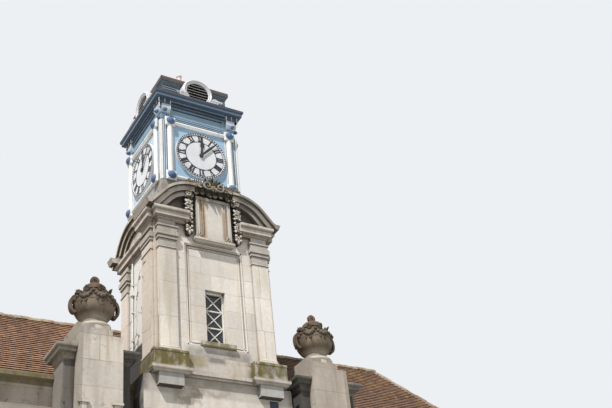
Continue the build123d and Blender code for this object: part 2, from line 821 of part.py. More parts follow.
# Tablet between the halves of the front pediment
tablet_low = plinth_top + tablet_foot
tablet_top = tablet_low + tablet_height
sill_low = tablet_low - tablet_sill_height
with BuildPart() as tablet:
    box_between((-tablet_half, stage_front - tablet_thick, tablet_low),
                (tablet_half, stage_front, tablet_top))
    with BuildSketch(face_plane(0, tablet_thick - stage_front)) as sunk:
        with Locations((0, tablet_low + tablet_height / 2)):
            Rectangle(2 * tablet_half - 180, tablet_height - 180)
    extrude(sunk.sketch, amount=-25, mode=Mode.SUBTRACT)
keep(tablet, "tablet")


# Moulded sills under the tablet and under the lattice window
sill_outline = [(-60, sill_low, 0), (-30, sill_low + 40, -8), (0, sill_low + 60, 0),
                (0, tablet_low, 0)]
tablet_sill = moulded_unit(tablet_sill_half, tablet_sill_over, sill_outline)
sill_base = lattice_low - lattice_sill_height
lattice_sill_outline = [(-25, sill_base, 0), (0, sill_base + 20, 0), (0, lattice_low, 0)]
lattice_sill = moulded_unit(lattice_sill_half, lattice_sill_over + pilaster_depth,
                            lattice_sill_outline)
with BuildPart() as sills:
    with Locations((0, stage_front, 0)):
        add(tablet_sill)
    with Locations((0, stage_front + recess_depth, 0)):
        add(lattice_sill)
keep(sills, "stone_sills")

# Fruit drops beside the tablet and a garland over it
drop_low = tablet_low + 60
drop_high = tablet_top + 200
with BuildPart() as garlands:
    for side in (-1, 1):
        with BuildSketch(face_plane(0, -stage_front, side * drop_centre)) as drop:
            with BuildLine():
                half = drop_width / 2
                Line((-half, drop_high), (half, drop_high))
                Line((half, drop_high), (half, drop_low + 260))
                ThreePointArc((half, drop_low + 260), (half * 0.55, drop_low + 90), (0, drop_low))
                ThreePointArc((0, drop_low), (-half * 0.55, drop_low + 90),
                              (-half, drop_low + 260))
                Line((-half, drop_low + 260), (-half, drop_high))
            make_face()
        extrude(drop.sketch, amount=tablet_thick + 90)
    with BuildSketch(face_plane(0, -stage_front)) as crown:
        with BuildLine():
            garland_low = plinth_top + garland_foot
            garland_top = garland_low + garland_height
            Line((-garland_half, garland_low + 150), (garland_half, garland_low + 150))
            Line((garland_half, garland_low + 150), (garland_half, garland_low + 300))
            ThreePointArc((garland_half, garland_low + 300), (0, garland_top),
                          (-garland_half, garland_low + 300))
            Line((-garland_half, garland_low + 300), (-garland_half, garland_low + 150))
        make_face()
    extrude(crown.sketch, amount=tablet_thick + 150)
    box_between((-tablet_half, stage_front - tablet_thick, tablet_low),
                (tablet_half, stage_front, tablet_top), Mode.SUBTRACT)
    add(pediments.part, mode=Mode.SUBTRACT)
    add(stage_cornices.part, mode=Mode.SUBTRACT)
keep(garlands, "garlands")

# Lattice window: one framed leaf deep in the opening
with BuildPart() as lattice_leaf:
    middle = lattice_low + lattice_height / 2
    with Locations((0, stage_front + lattice_reveal, middle)):
        Box(lattice_width, lattice_thick, lattice_height)
        Box(lattice_width - 90, lattice_thick, lattice_height - 90, mode=Mode.SUBTRACT)
        Box(lattice_width - 90, lattice_thick / 5, lattice_height - 90)
keep(lattice_leaf, "lattice_window_leaf")

# Clock stage: four walls with a round hole for the hands behind each dial
with BuildPart() as clock_walls:
    for half, mode in ((clock_half, Mode.ADD), (clock_half - clock_wall, Mode.SUBTRACT)):
        box_between((-half, -half, stage_top), (half, half, clock_top), mode)
    for angle in (0, 90):
        with BuildSketch(face_plane(angle, clock_half)) as hole:
            with Locations((0, dial_level)):
                Circle(arbor_hole)
        extrude(hole.sketch, amount=-2 * clock_half, mode=Mode.SUBTRACT)
keep(clock_walls, "clock_stage_walls")

# Clock frames: two columns and two rolls on each face, tied by square corner blocks
roll_low = stage_top + roll_foot
roll_high = roll_low + roll_span
roll_out = clock_half + roll_radius / 3
with BuildPart() as frame_unit:
    for side in (-1, 1):
        with Locations((side * roll_centre, -roll_out, (roll_low + roll_high) / 2)):
            Cylinder(roll_radius, roll_span)
    for level in (roll_low, roll_high):
        with Locations(Location((0, -roll_out, level), (0, 90, 0))):
            Cylinder(roll_radius * 0.8, 2 * roll_centre)
        for side in (-1, 1):
            with Locations((side * roll_centre, -clock_half - boss_block_out / 2, level)):
                Box(boss_block, boss_block_out, boss_block)
    box_between((-2 * clock_half, -clock_half, stage_top),
                (2 * clock_half, clock_half, clock_top), Mode.SUBTRACT)
frame_faces = [(0, 0, angle) for angle in SIDES.values()]
placed(frame_unit.part, frame_faces, "clock_frames")

# Dials: a disc with a raised rim and a fitted hole at its centre
with BuildPart() as dial:
    with BuildSketch(Plane.XY) as dial_section:
        with BuildLine():
            Polyline((pipe_radius + fit, 0), (dial_radius, 0), (dial_radius, dial_thick + 15),
                     (dial_radius - 15, dial_thick + 25), (dial_radius - dial_rim, dial_thick + 20),
                     (dial_radius - dial_rim - 10, dial_thick), (pipe_radius + fit, dial_thick),
                     close=True)
        make_face()
    revolve(dial_section.sketch, axis=Axis.Y)
with BuildPart() as dials:
    for angle in SIDES.values():
        with Locations(Location((0, 0, dial_level), (0, 0, angle))):
            with Locations(Location((0, -clock_half, 0), (180, 0, 0))):
                add(dial.part)
keep(dials, "dials")

# Frieze above the dials: hollow, with a long sunk slot on each face and eight brackets
slot_top = clock_frieze_top - slot_drop
frieze_bracket_low = clock_frieze_top - frieze_bracket_height
with BuildPart() as clock_frieze:
    box_between((-frieze_half, -frieze_half, clock_top),
                (frieze_half, frieze_half, clock_frieze_top))
    inside = clock_half - clock_wall
    box_between((-inside, -inside, clock_top), (inside, inside, clock_frieze_top), Mode.SUBTRACT)
    for angle in SIDES.values():
        with BuildSketch(face_plane(angle, frieze_half)) as slot:
            with Locations((0, slot_top - slot_height / 2)):
                Rectangle(2 * slot_half, slot_height)
        extrude(slot.sketch, amount=-slot_depth, mode=Mode.SUBTRACT)
keep(clock_frieze, "clock_frieze")

frieze_at = frieze_half - frieze_bracket_width / 2
with BuildPart() as corbel:
    near = frieze_half
    far = frieze_half + frieze_bracket_out
    low = frieze_bracket_low
    for side in (-1, 1):
        section = Plane((side * frieze_at, 0, 0), x_dir=(0, -1, 0), z_dir=(-1, 0, 0))
        with BuildSketch(section) as scroll:
            with BuildLine():
                Line((near, low), (near, clock_frieze_top))
                Line((near, clock_frieze_top), (far, clock_frieze_top))
                Line((far, clock_frieze_top), (far, low + 130))
                ThreePointArc((far, low + 130), (far - 25, low + 45), (near + 20, low))
                Line((near + 20, low), (near, low))
            make_face()
        extrude(scroll.sketch, amount=frieze_bracket_width / 2, both=True)
placed(corbel.part, frame_faces, "frieze_brackets")

# Domed bosses on the corner blocks of the clock frames, and balls under the frieze brackets
boss_front = clock_half + boss_block_out
dome = (boss_radius ** 2 + boss_height ** 2) / (2 * boss_height)
with BuildPart() as dome_unit:
    for side in (-1, 1):
        for level in (roll_low, roll_high):
            with Locations((side * roll_centre, dome - boss_front - boss_height, level)):
                Sphere(dome)
    box_between((-2 * clock_half, -boss_front, stage_top),
                (2 * clock_half, 2 * clock_half, clock_top + boss_radius), Mode.SUBTRACT)
with BuildPart() as ball_unit:
    ball_level = frieze_bracket_low - 2 * frieze_ball_radius
    for side in (-1, 1):
        with Locations((side * frieze_at, -frieze_half, ball_level)):
            Sphere(frieze_ball_radius)
    box_between((-2 * clock_half, -frieze_half, clock_top),
                (2 * clock_half, 2 * clock_half, clock_frieze_top), Mode.SUBTRACT)
with BuildPart() as bosses:
    for x, y, angle in frame_faces:
        with Locations(Location((x, y, 0), (0, 0, angle))):
            add(dome_unit.part)
            add(ball_unit.part)
keep(bosses, "blue_bosses")


dormer_depth = oculus_out - oculus_back


def round_dormer_cut(depth):
    """Cut the four round dormers' places out of the open part."""
    for angle in SIDES.values():
        with BuildSketch(face_plane(angle, oculus_out)) as place:
            with Locations((0, oculus_level)):
                Circle(oculus_radius)
        extrude(place.sketch, amount=-depth, mode=Mode.SUBTRACT)


# Cornice over the clock, a moulded ring
reach = clock_cornice_half - frieze_half
with BuildPart() as clock_cornice:
    base = clock_frieze_top
    moulded_block(-frieze_half, frieze_half, -frieze_half, frieze_half,
                  [(0, base, 0), (20, base + 25, 0), (60, base + 70, 14), (75, base + 90, 0),
                   (reach - 40, base + 100, 0), (reach - 35, base + 190, 0),
                   (reach - 20, base + 200, 0), (reach, clock_cornice_top - 25, -12),
                   (reach, clock_cornice_top, 0)])
    inside = attic_half - attic_wall
    box_between((-inside, -inside, base), (inside, inside, clock_cornice_top), Mode.SUBTRACT)
    round_dormer_cut(dormer_depth)
keep(clock_cornice, "clock_cornice")

# Attic walls and their coping, open where the round dormers pass
with BuildPart() as attic:
    inside = attic_half - attic_wall
    box_between((-attic_half, -attic_half, clock_cornice_top), (attic_half, attic_half, attic_top))
    box_between((-inside, -inside, clock_cornice_top), (inside, inside, attic_top), Mode.SUBTRACT)
    round_dormer_cut(dormer_depth)
keep(attic, "attic_walls")

with BuildPart() as attic_coping:
    over = attic_coping_over
    moulded_block(-attic_half, attic_half, -attic_half, attic_half,
                  [(0, attic_top, 0), (over - 30, attic_top + 30, 14), (over, attic_top + 40, 0),
                   (over, attic_coping_top - 25, 0), (over - 40, attic_coping_top, 0)])
    box_between((-inside, -inside, attic_top), (inside, inside, attic_coping_top), Mode.SUBTRACT)
    round_dormer_cut(dormer_depth)
keep(attic_coping, "attic_coping")

# Round dormers: short moulded drums, each closed by a sunk louvre plate
with BuildPart() as drum:
    with BuildSketch(Plane.XY) as drum_section:
        with BuildLine():
            length = oculus_out - oculus_back
            Polyline((oculus_hole, 0), (oculus_radius, 0), (oculus_radius, length - 60),
                     (oculus_radius - 20, length - 45), (oculus_radius - 20, length - 20),
                     (oculus_radius - 45, length), (oculus_hole + 30, length),
                     (oculus_hole, length - 25), close=True)
        make_face()
    revolve(drum_section.sketch, axis=Axis.Y)
    with Locations(Location((0, length - oculus_recess - oculus_plate / 2, 0), (90, 0, 0))):
        Cylinder(oculus_hole, oculus_plate)
with BuildPart() as dormers:
    for angle in SIDES.values():
        with Locations(Location((0, 0, oculus_level), (0, 0, angle))):
            with Locations(Location((0, -oculus_back, 0), (180, 0, 0))):
                add(drum.part)
keep(dormers, "round_dormers")

# Cap: a hollow pyramid that rises inside the coping
cap_foot = attic_half - attic_wall
with BuildPart() as cap_void:
    for level, half in ((attic_top, cap_foot - cap_thick),
                        (attic_top + cap_height - cap_thick, cap_neck / 2)):
        with BuildSketch(Plane.XY.offset(level)):
            Rectangle(2 * half, 2 * half)
    loft()
with BuildPart() as tower_cap:
    for level, half in ((attic_top, cap_foot), (attic_top + cap_height, cap_neck)):
        with BuildSketch(Plane.XY.offset(level)):
            Rectangle(2 * half, 2 * half)
    loft()
    add(cap_void.part, mode=Mode.SUBTRACT)
    round_dormer_cut(dormer_depth)
keep(tower_cap, "tower_cap")

# Finial: a turned neck and a ball
neck_low = attic_top + cap_height
ball_level = neck_low + finial_height - finial_radius
with BuildPart() as finial:
    with BuildSketch(Plane.XZ) as turned:
        with BuildLine():
            Line((0, neck_low), (cap_neck - 10, neck_low))
            Line((cap_neck - 10, neck_low), (cap_neck - 10, neck_low + 50))
            ThreePointArc((cap_neck - 10, neck_low + 50), (65, neck_low + 130),
                          (45, ball_level - 210))
            Line((45, ball_level - 210), (75, ball_level - 190))
            Line((75, ball_level - 190), (60, ball_level - 40))
            Line((60, ball_level - 40), (0, ball_level - 40))
            Line((0, ball_level - 40), (0, neck_low))
        make_face()
    revolve(turned.sketch, axis=Axis.Z)
    with Locations((0, 0, ball_level)):
        Sphere(finial_radius)
keep(finial, "ball_finial")


def dial_plane(angle, distance, turn=0):
    """A plane at the centre of one dial, turned clockwise as seen from outside."""
    a, t = radians(angle), radians(turn)
    out = (sin(a), -cos(a), 0)
    across = (cos(t) * cos(a), cos(t) * sin(a), -sin(t))
    return Plane(origin=(out[0] * distance, out[1] * distance, dial_level), x_dir=across,
                 z_dir=out)


def hand(node, angle, turn, distance, blade, shank, foot, collar, bore):
    """One clock hand: a blade, a shank through the dial and a collar behind it."""
    length, stem, neck, belly, belly_at = blade
    with BuildPart() as piece:
        with BuildSketch(dial_plane(angle, distance, turn)) as outline:
            with BuildLine():
                Line((stem, 0), (stem, neck * length))
                ThreePointArc((stem, neck * length), (belly, belly_at * length), (6, length))
                Line((6, length), (-6, length))
                ThreePointArc((-6, length), (-belly, belly_at * length), (-stem, neck * length))
                Line((-stem, neck * length), (-stem, 0))
                Line((-stem, 0), (stem, 0))
            make_face()
            Circle(hub_radius)
        extrude(outline.sketch, amount=hand_thick)
        with BuildSketch(dial_plane(angle, foot)) as rod:
            Circle(shank)
        extrude(rod.sketch, amount=distance + hand_thick - foot)
        with BuildSketch(dial_plane(angle, foot)) as ring:
            Circle(collar)
        extrude(ring.sketch, amount=collar_thick)
        if bore:
            with BuildSketch(dial_plane(angle, foot)) as hole:
                Circle(bore)
            extrude(hole.sketch, amount=distance + hand_thick - foot, mode=Mode.SUBTRACT)
    keep(piece, node)


# Hands: each hour hand turns in its dial on a pipe, and the minute hand turns in that pipe
hour_at = clock_half + dial_thick + hand_gap
minute_at = hour_at + hand_thick + hand_gap
pipe_foot = clock_half - collar_gap - collar_thick
arbor_foot = pipe_foot - collar_gap - collar_thick
for name, angle in SIDES.items():
    hand(f"{name}_hour_hand", angle, hour_angle, hour_at, hour_blade,
         pipe_radius, pipe_foot, hub_radius - 8, arbor_radius + fit)
    hand(f"{name}_minute_hand", angle, minute_angle, minute_at, minute_blade,
         arbor_radius, arbor_foot, pipe_radius, 0)
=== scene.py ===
import math
import random

import bpy
from mathutils import Matrix, Vector


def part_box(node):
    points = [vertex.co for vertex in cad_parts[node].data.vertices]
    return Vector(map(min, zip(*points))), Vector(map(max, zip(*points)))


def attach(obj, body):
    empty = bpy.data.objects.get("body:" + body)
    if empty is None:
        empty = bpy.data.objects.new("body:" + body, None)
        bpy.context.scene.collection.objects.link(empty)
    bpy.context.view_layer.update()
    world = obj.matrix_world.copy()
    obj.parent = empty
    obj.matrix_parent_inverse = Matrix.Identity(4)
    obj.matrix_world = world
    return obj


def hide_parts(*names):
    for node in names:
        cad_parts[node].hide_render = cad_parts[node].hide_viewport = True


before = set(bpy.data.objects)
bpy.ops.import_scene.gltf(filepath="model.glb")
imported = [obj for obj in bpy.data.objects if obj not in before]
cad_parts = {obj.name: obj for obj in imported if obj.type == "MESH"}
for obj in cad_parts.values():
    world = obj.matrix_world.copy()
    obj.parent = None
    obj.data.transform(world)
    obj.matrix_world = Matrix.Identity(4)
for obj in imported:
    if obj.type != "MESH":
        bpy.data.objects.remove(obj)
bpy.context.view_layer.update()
random.seed(11)

FACES = (0, 90, 180, 270)
HERE = Matrix.Identity(4)


# Shapes: small helpers that collect faces in metres and make one piece of them

def at(place, spot=(0, 0, 0), turn=0.0, axis="Y"):
    """A place moved to a spot within it, then turned there by so many degrees."""
    return place @ Matrix.Translation(spot) @ Matrix.Rotation(math.radians(turn), 4, axis)


def link_new(name, data):
    """A new object, linked to the scene."""
    made = bpy.data.objects.new(name, data)
    bpy.context.scene.collection.objects.link(made)
    return made


def spiral(centre, radius, start, sweep, shrink, steps, side, drift=0.0):
    """Points of a scroll in a face's plane; side -1 mirrors it, drift moves each step along local y."""
    x, y, z = centre
    points = []
    for k in range(steps + 1):
        a = math.radians(start + sweep * k / steps)
        r = radius * (1 - shrink * k / steps)
        points.append((side * (x + r * math.cos(a)), y + drift * k, z + r * math.sin(a)))
    return points


def taper(start, end, steps):
    """Radii that run evenly from start to end."""
    return [start + (end - start) * k / steps for k in range(steps + 1)]


class Shape:
    """Collects the faces of one piece."""

    def __init__(self):
        self.points = []
        self.faces = []

    def add(self, points, faces, place=HERE):
        start = len(self.points)
        self.points += [place @ Vector(p) for p in points]
        self.faces += [[start + i for i in face] for face in faces]

    def box(self, low, high, place):
        (a, b, c), (d, e, f) = low, high
        points = [(x, y, z) for z in (c, f) for x, y in ((a, b), (d, b), (d, e), (a, e))]
        faces = [(3, 2, 1, 0), (4, 5, 6, 7), (0, 1, 5, 4), (1, 2, 6, 5), (2, 3, 7, 6), (3, 0, 4, 7)]
        self.add(points, faces, place)

    def post(self, x, wide, out, low, high, place):
        """A strip about local x that stands out from local y = 0, between two levels."""
        self.box((x - wide / 2, -out, low), (x + wide / 2, 0, high), place)

    def surround(self, half, tall, edge, back, front, place):
        """The four outer boards of a window."""
        for x0, x1, z0, z1 in ((-half, edge - half, 0, tall), (half - edge, half, 0, tall),
                               (-half, half, 0, edge), (-half, half, tall - edge, tall)):
            self.box((x0, back, z0), (x1, front, z1), place)

    def bar(self, start, end, width, depth, place):
        """A straight bar in a face's plane, from start to end as (x, z), on local y = 0."""
        (x0, z0), (x1, z1) = start, end
        size = math.hypot(x1 - x0, z1 - z0)
        nx, nz = (z0 - z1) / size * width / 2, (x1 - x0) / size * width / 2
        outline = [(x0 + nx, z0 + nz), (x0 - nx, z0 - nz), (x1 - nx, z1 - nz), (x1 + nx, z1 + nz)]
        points = [(x, y, z) for y in (0, -depth) for x, z in outline]
        faces = [(4, 5, 6, 7)] + [(i, (i + 1) % 4, 4 + (i + 1) % 4, 4 + i) for i in range(4)]
        self.add(points, faces, place)

    def turned(self, outline, steps, place):
        """Revolves an outline of (radius, height) round local z."""
        n = len(outline)
        points, faces = [], []
        for i in range(steps):
            a = 2 * math.pi * i / steps
            points += [(r * math.cos(a), r * math.sin(a), z) for r, z in outline]
            j = (i + 1) % steps
            faces += [(i * n + k, j * n + k, j * n + k + 1, i * n + k + 1) for k in range(n - 1)]
        self.add(points, faces, place)

    def ball(self, centre, radii, place, steps=10, tiers=6):
        """An ellipsoid for fruit and lumps of carving."""
        turns = [math.pi * k / tiers for k in range(tiers + 1)]
        outline = [(math.sin(a), -math.cos(a)) for a in turns]
        self.turned(outline, steps, place @ Matrix.Translation(centre) @ Matrix.Diagonal((*radii, 1)))

    def berry(self, centre, radius, place):
        self.ball(centre, (radius, radius, radius), place, 8, 5)

    def tube(self, path, radius, steps, place):
        """A round rod along a path of points; radius is one value or one for each point."""
        radii = radius if isinstance(radius, list) else [radius] * len(path)
        path = [Vector(p) for p in path]
        points = []
        for i, p in enumerate(path):
            along = (path[min(i + 1, len(path) - 1)] - path[max(i - 1, 0)]).normalized()
            side = along.orthogonal().normalized()
            if i:
                side = (last - along * last.dot(along)).normalized()
            last = side
            up = along.cross(side)
            for k in range(steps):
                a = 2 * math.pi * k / steps
                points.append(p + (side * math.cos(a) + up * math.sin(a)) * radii[i])
        faces = [[i * steps + k, i * steps + (k + 1) % steps,
                  (i + 1) * steps + (k + 1) % steps, (i + 1) * steps + k]
                 for i in range(len(path) - 1) for k in range(steps)]
        faces.append(list(range(steps - 1, -1, -1)))
        faces.append([(len(path) - 1) * steps + k for k in range(steps)])
        self.add(points, faces, place)

    def sheet(self, rows, shift, place):
        """A closed shell from a grid of points and the same grid moved by shift."""
        n, m = len(rows), len(rows[0])
        points = [p for row in rows for p in row]
        points += [p + shift for p in points]
        back = n * m
        faces = []
        for i in range(n - 1):
            for j in range(m - 1):
                a, b, c, d = i * m + j, (i + 1) * m + j, (i + 1) * m + j + 1, i * m + j + 1
                faces += [(a, b, c, d), (back + d, back + c, back + b, back + a)]
            for j in (0, m - 1):
                a, b = i * m + j, (i + 1) * m + j
                faces.append((a, back + a, back + b, b) if j == 0 else (b, back + b, back + a, a))
        for i in (0, n - 1):
            for j in range(m - 1):
                a, b = i * m + j, i * m + j + 1
                faces.append((b, back + b, back + a, a) if i == 0 else (a, back + a, back + b, b))
        self.add(points, faces, place)

    def leaf(self, length, width, curl, place, lobes, thick):
        """A carved leaf that rises along local z and curls forward to -y."""
        rows = []
        for i in range(8):
            u = i / 7
            up = length * math.sin(curl * u) / curl
            out = -length * (1 - math.cos(curl * u)) / curl
            half = width / 2 * math.sin(math.pi * min(0.98, 0.12 + 0.86 * u)) ** 0.7
            half *= 1 + 0.22 * math.cos(2 * math.pi * lobes * u)
            rows.append([Vector((v * half, out - 0.18 * width * (1 - abs(v)) * (1 - 0.5 * u), up))
                         for v in (-1, -0.5, 0, 0.5, 1)])
        self.sheet(rows, Vector((0, thick, 0)), place)

    def rosette(self, centre, size, place, petals=5):
        """A flower of round petals about a small boss."""
        x, y, z = centre
        for i in range(petals):
            a = 2 * math.pi * (i + 0.25) / petals
            spot = (x + size * 0.58 * math.cos(a), y, z + size * 0.58 * math.sin(a))
            self.ball(spot, (size * 0.42, size * 0.30, size * 0.42), place, 8, 5)
        self.berry((x, y - size * 0.2, z), size * 0.26, place)

    def lap_board(self, half, low, high, out, place):
        """A board that slopes: its lower edge stands out and its upper edge lies close to local y = 0."""
        points = [(-half, 0, low), (half, 0, low), (half, -out, low), (-half, -out, low),
                  (-half, 0, high), (half, 0, high), (half, -out * 0.15, high), (-half, -out * 0.15, high)]
        faces = [(0, 1, 2, 3), (3, 2, 6, 7), (7, 6, 5, 4), (0, 3, 7, 4), (2, 1, 5, 6)]
        self.add(points, faces, place)

    def make(self, name, look, slot, smooth=False, bevel=0.0):
        mesh = bpy.data.meshes.new(name)
        mesh.from_pydata(self.points, [], self.faces)
        mesh.validate()
        mesh.materials.append(bpy.data.materials[look])
        piece = link_new(name, mesh)
        for face in mesh.polygons:
            face.use_smooth = smooth
        if bevel:
            soft = piece.modifiers.new("edges", "BEVEL")
            soft.width = bevel
            soft.segments = 2
        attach(piece, "station")
        return piece


def face_place(angle, out, along=0.0, level=0.0):
    """Local x to the right, -y outwards and z up, on one side of the tower."""
    return at(HERE, turn=angle, axis="Z") @ Matrix.Translation((along, -out, level))


def islands(node):
    """The boxes of a CAD node's separate solids, as (low, high) pairs."""
    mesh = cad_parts[node].data
    parent = list(range(len(mesh.vertices)))

    def root(i):
        while parent[i] != i:
            parent[i] = parent[parent[i]]
            i = parent[i]
        return i

    seen = {}
    for v in mesh.vertices:
        key = tuple(round(c, 4) for c in v.co)
        parent[root(v.index)] = root(seen.setdefault(key, v.index))
    for edge in mesh.edges:
        parent[root(edge.vertices[0])] = root(edge.vertices[1])
    groups = {}
    for v in mesh.vertices:
        groups.setdefault(root(v.index), []).append(v.co)
    return [tuple(Vector([pick(c[i] for c in group) for i in range(3)]) for pick in (min, max))
            for group in groups.values()]


# Materials: every one is procedural, in object coordinates

class Shade:
    """Builds one procedural material by short calls."""

    def __init__(self, name):
        self.material = bpy.data.materials.new(name)
        self.material.use_nodes = True
        self.nodes = self.material.node_tree.nodes
        self.links = self.material.node_tree.links
        self.shader = self.nodes["Principled BSDF"]
        coords = self.nodes.new("ShaderNodeTexCoord")
        self.place = coords.outputs["Object"]
        self.x, self.y, self.z = self.split(self.place)
        self.nx, self.ny, self.nz = self.split(coords.outputs["Normal"])

    def put(self, value, socket):
        if isinstance(value, bpy.types.NodeSocket):
            self.links.new(value, socket)
        elif socket.type == "RGBA":
            socket.default_value = (*value, 1)
        else:
            socket.default_value = value

    def fill(self, node, *values):
        """Puts values in a node's first sockets and gives its first output."""
        for value, socket in zip(values, node.inputs):
            self.put(value, socket)
        return node.outputs[0]

    def split(self, vector):
        node = self.nodes.new("ShaderNodeSeparateXYZ")
        self.links.new(vector, node.inputs[0])
        return node.outputs

    def math(self, kind, *values):
        node = self.nodes.new("ShaderNodeMath")
        node.operation = kind
        return self.fill(node, *values)

    def times(self, first, *others):
        for value in others:
            first = self.math("MULTIPLY", first, value)
        return first

    def plus(self, first, second):
        return self.math("ADD", first, second)

    def rest(self, value):
        """One less the value."""
        return self.math("SUBTRACT", 1.0, value)

    def size(self, value):
        """The value without its sign."""
        return self.math("ABSOLUTE", value)

    def vector(self, x, y, z):
        return self.fill(self.nodes.new("ShaderNodeCombineXYZ"), x, y, z)

    def noise(self, scale, detail=4.0, stretch=(1, 1, 1), rough=0.55, seed=0.0):
        """Noise of about `scale` patches per metre."""
        move = self.nodes.new("ShaderNodeMapping")
        self.links.new(self.place, move.inputs["Vector"])
        move.inputs["Scale"].default_value = stretch
        move.inputs["Location"].default_value = (seed, seed * 0.7, seed * 1.3)
        node = self.nodes.new("ShaderNodeTexNoise")
        self.links.new(move.outputs[0], node.inputs["Vector"])
        node.inputs["Scale"].default_value = scale
        node.inputs["Detail"].default_value = detail
        node.inputs["Roughness"].default_value = rough
        return node.outputs["Fac"]

    def veins(self, scale):
        """Distance to the edges of large cells whose sides wander."""
        wander = self.nodes.new("ShaderNodeVectorMath")
        wander.operation = "MULTIPLY_ADD"
        drift = self.nodes.new("ShaderNodeTexNoise")
        drift.inputs["Scale"].default_value = 2.6
        self.links.new(self.place, drift.inputs["Vector"])
        self.fill(wander, drift.outputs["Color"], (0.5, 0.5, 0.5), self.place)
        node = self.nodes.new("ShaderNodeTexVoronoi")
        node.feature = "DISTANCE_TO_EDGE"
        node.inputs["Scale"].default_value = scale
        self.links.new(wander.outputs[0], node.inputs["Vector"])
        return node.outputs["Distance"]

    def chance(self, x, y, z):
        """One random number for each whole-numbered place."""
        node = self.nodes.new("ShaderNodeTexWhiteNoise")
        self.links.new(self.vector(x, y, z), node.inputs["Vector"])
        return node.outputs["Value"]

    def ease(self, value, low, high, start=0.0, end=1.0):
        """Runs smoothly from start to end as value goes from low to high."""
        node = self.nodes.new("ShaderNodeMapRange")
        node.interpolation_type = "SMOOTHSTEP"
        return self.fill(node, value, low, high, start, end)

    def patches(self, scale, detail, low, high, start=0.0, end=1.0, **kind):
        """Noise eased to patches; kind holds noise's stretch, rough and seed."""
        return self.ease(self.noise(scale, detail, **kind), low, high, start, end)

    def mix(self, factor, first, second, blend="MIX"):
        node = self.nodes.new("ShaderNodeMix")
        node.data_type = "RGBA"
        node.blend_type = blend
        self.put(factor, node.inputs[0])
        self.put(first, node.inputs[6])
        self.put(second, node.inputs[7])
        return node.outputs[2]

    def layer(self, colour, tone, *masks):
        """Lays a tone over a colour by the product of the masks."""
        return self.mix(self.times(*masks), colour, tone)

    def tint(self, colour, value):
        """Colour times a number."""
        return self.mix(1.0, colour, self.vector(value, value, value), "MULTIPLY")

    def crevice(self, reach):
        """0 on open surfaces and 1 deep in corners."""
        node = self.nodes.new("ShaderNodeAmbientOcclusion")
        node.samples = 6
        node.inputs["Distance"].default_value = reach
        return self.rest(node.outputs["AO"])

    def zone(self, colour, tone, amount, *limits):
        """Lays a tone where every (axis, low, high) limit holds; low over high turns it round."""
        axes = {"x": self.x, "y": self.y, "z": self.z, "nx": self.nx, "ny": self.ny, "nz": self.nz,
                "side": self.size(self.x), "face": self.size(self.nx)}
        masks = [self.patches(5.0, 5, 0.35, 0.65, 0.75, 1.0, rough=0.7, seed=3.3)]
        for axis, low, high in limits:
            ends = (0.0, 1.0) if low < high else (1.0, 0.0)
            masks.append(self.ease(axes[axis], min(low, high), max(low, high), *ends))
        return self.layer(colour, tone, *masks, amount)

    def bump(self, height, depth):
        node = self.nodes.new("ShaderNodeBump")
        node.inputs["Distance"].default_value = depth
        node.inputs["Strength"].default_value = 1.0
        self.links.new(height, node.inputs["Height"])
        if self.shader.inputs["Normal"].links:
            self.links.new(self.shader.inputs["Normal"].links[0].from_socket, node.inputs["Normal"])
        self.links.new(node.outputs[0], self.shader.inputs["Normal"])

    def finish(self, colour, rough, **fixed):
        self.put(colour, self.shader.inputs["Base Color"])
        self.put(rough, self.shader.inputs["Roughness"])
        for name, value in fixed.items():
            self.shader.inputs[name.replace("_", " ")].default_value = value
        return self.material


def scaled(tone, *shares):
    """A tone with red, green and blue each cut by its share."""
    return tuple(part * share for part, share in zip(tone, shares))


def ashlar(s, course, block, width):
    """Joint lines and one random number for each block of coursed stone."""
    turned = s.math("GREATER_THAN", s.size(s.nx), s.size(s.ny))
    along = s.plus(s.times(s.y, turned), s.times(s.x, s.rest(turned)))
    rows = s.math("DIVIDE", s.z, course)
    row = s.math("FLOOR", rows)
    shift = s.times(s.chance(row, turned, 0.0), 1.7)
    places = s.plus(s.math("DIVIDE", along, block), shift)
    level = s.times(s.math("PINGPONG", rows, 0.5), course)
    across = s.times(s.math("PINGPONG", places, 0.5), block)
    near = s.math("MINIMUM", level, across)
    upright = s.ease(s.size(s.nz), 0.4, 0.7, 1.0, 0.0)
    line = s.times(s.ease(near, width / 2, width, 1.0, 0.0), upright)
    return line, s.chance(s.math("FLOOR", places), row, turned)


# A dark tone for soot, also used as painted shade under the pediments, under the plinth and on the right
# arch.
SOOT_AND_SHADE = (0.115, 0.105, 0.095)
# Near-black for recesses and the sides of the tower, plinth, brackets and piers: painted shade, with damp.
SHADE_AND_DAMP = (0.062, 0.060, 0.056)
BLACK_CRUST = (0.080, 0.072, 0.055)
MOSS = (0.135, 0.108, 0.036)
CRACK = (0.05, 0.045, 0.04)
RUST = (0.20, 0.075, 0.035)
JOINT_WIDTH = 0.012


def coursed(s, colour, dark, course, block, joint, seed):
    """Blocks of slightly different tone with worn joints."""
    line, lot = ashlar(s, course, block, JOINT_WIDTH)
    colour = s.tint(colour, s.ease(lot, 0.0, 1.0, 0.92, 1.04))
    worn = s.patches(3.1, 3, 0.35, 0.6, 0.2 * joint, joint, seed=seed + 8)
    s.bump(s.rest(line), 0.005 * joint)
    return s.layer(colour, dark, line, worn)


def stained(s, colour, tone, x, z, wide, tall, hollow, depth):
    """A ragged ring of damp about (x, z), paler inside."""
    dx = s.math("DIVIDE", s.math("SUBTRACT", s.x, x), wide)
    dz = s.math("DIVIDE", s.math("SUBTRACT", s.z, z), tall)
    away = s.math("SQRT", s.plus(s.times(dx, dx), s.times(dz, dz)))
    ragged = s.plus(away, s.patches(7, 4, 0.3, 0.7, -0.3, 0.3, seed=x + z))
    edge = s.size(s.math("SUBTRACT", ragged, hollow))
    return s.layer(colour, tone, s.ease(edge, 0.05, 0.60, 1.0, 0.0), depth)


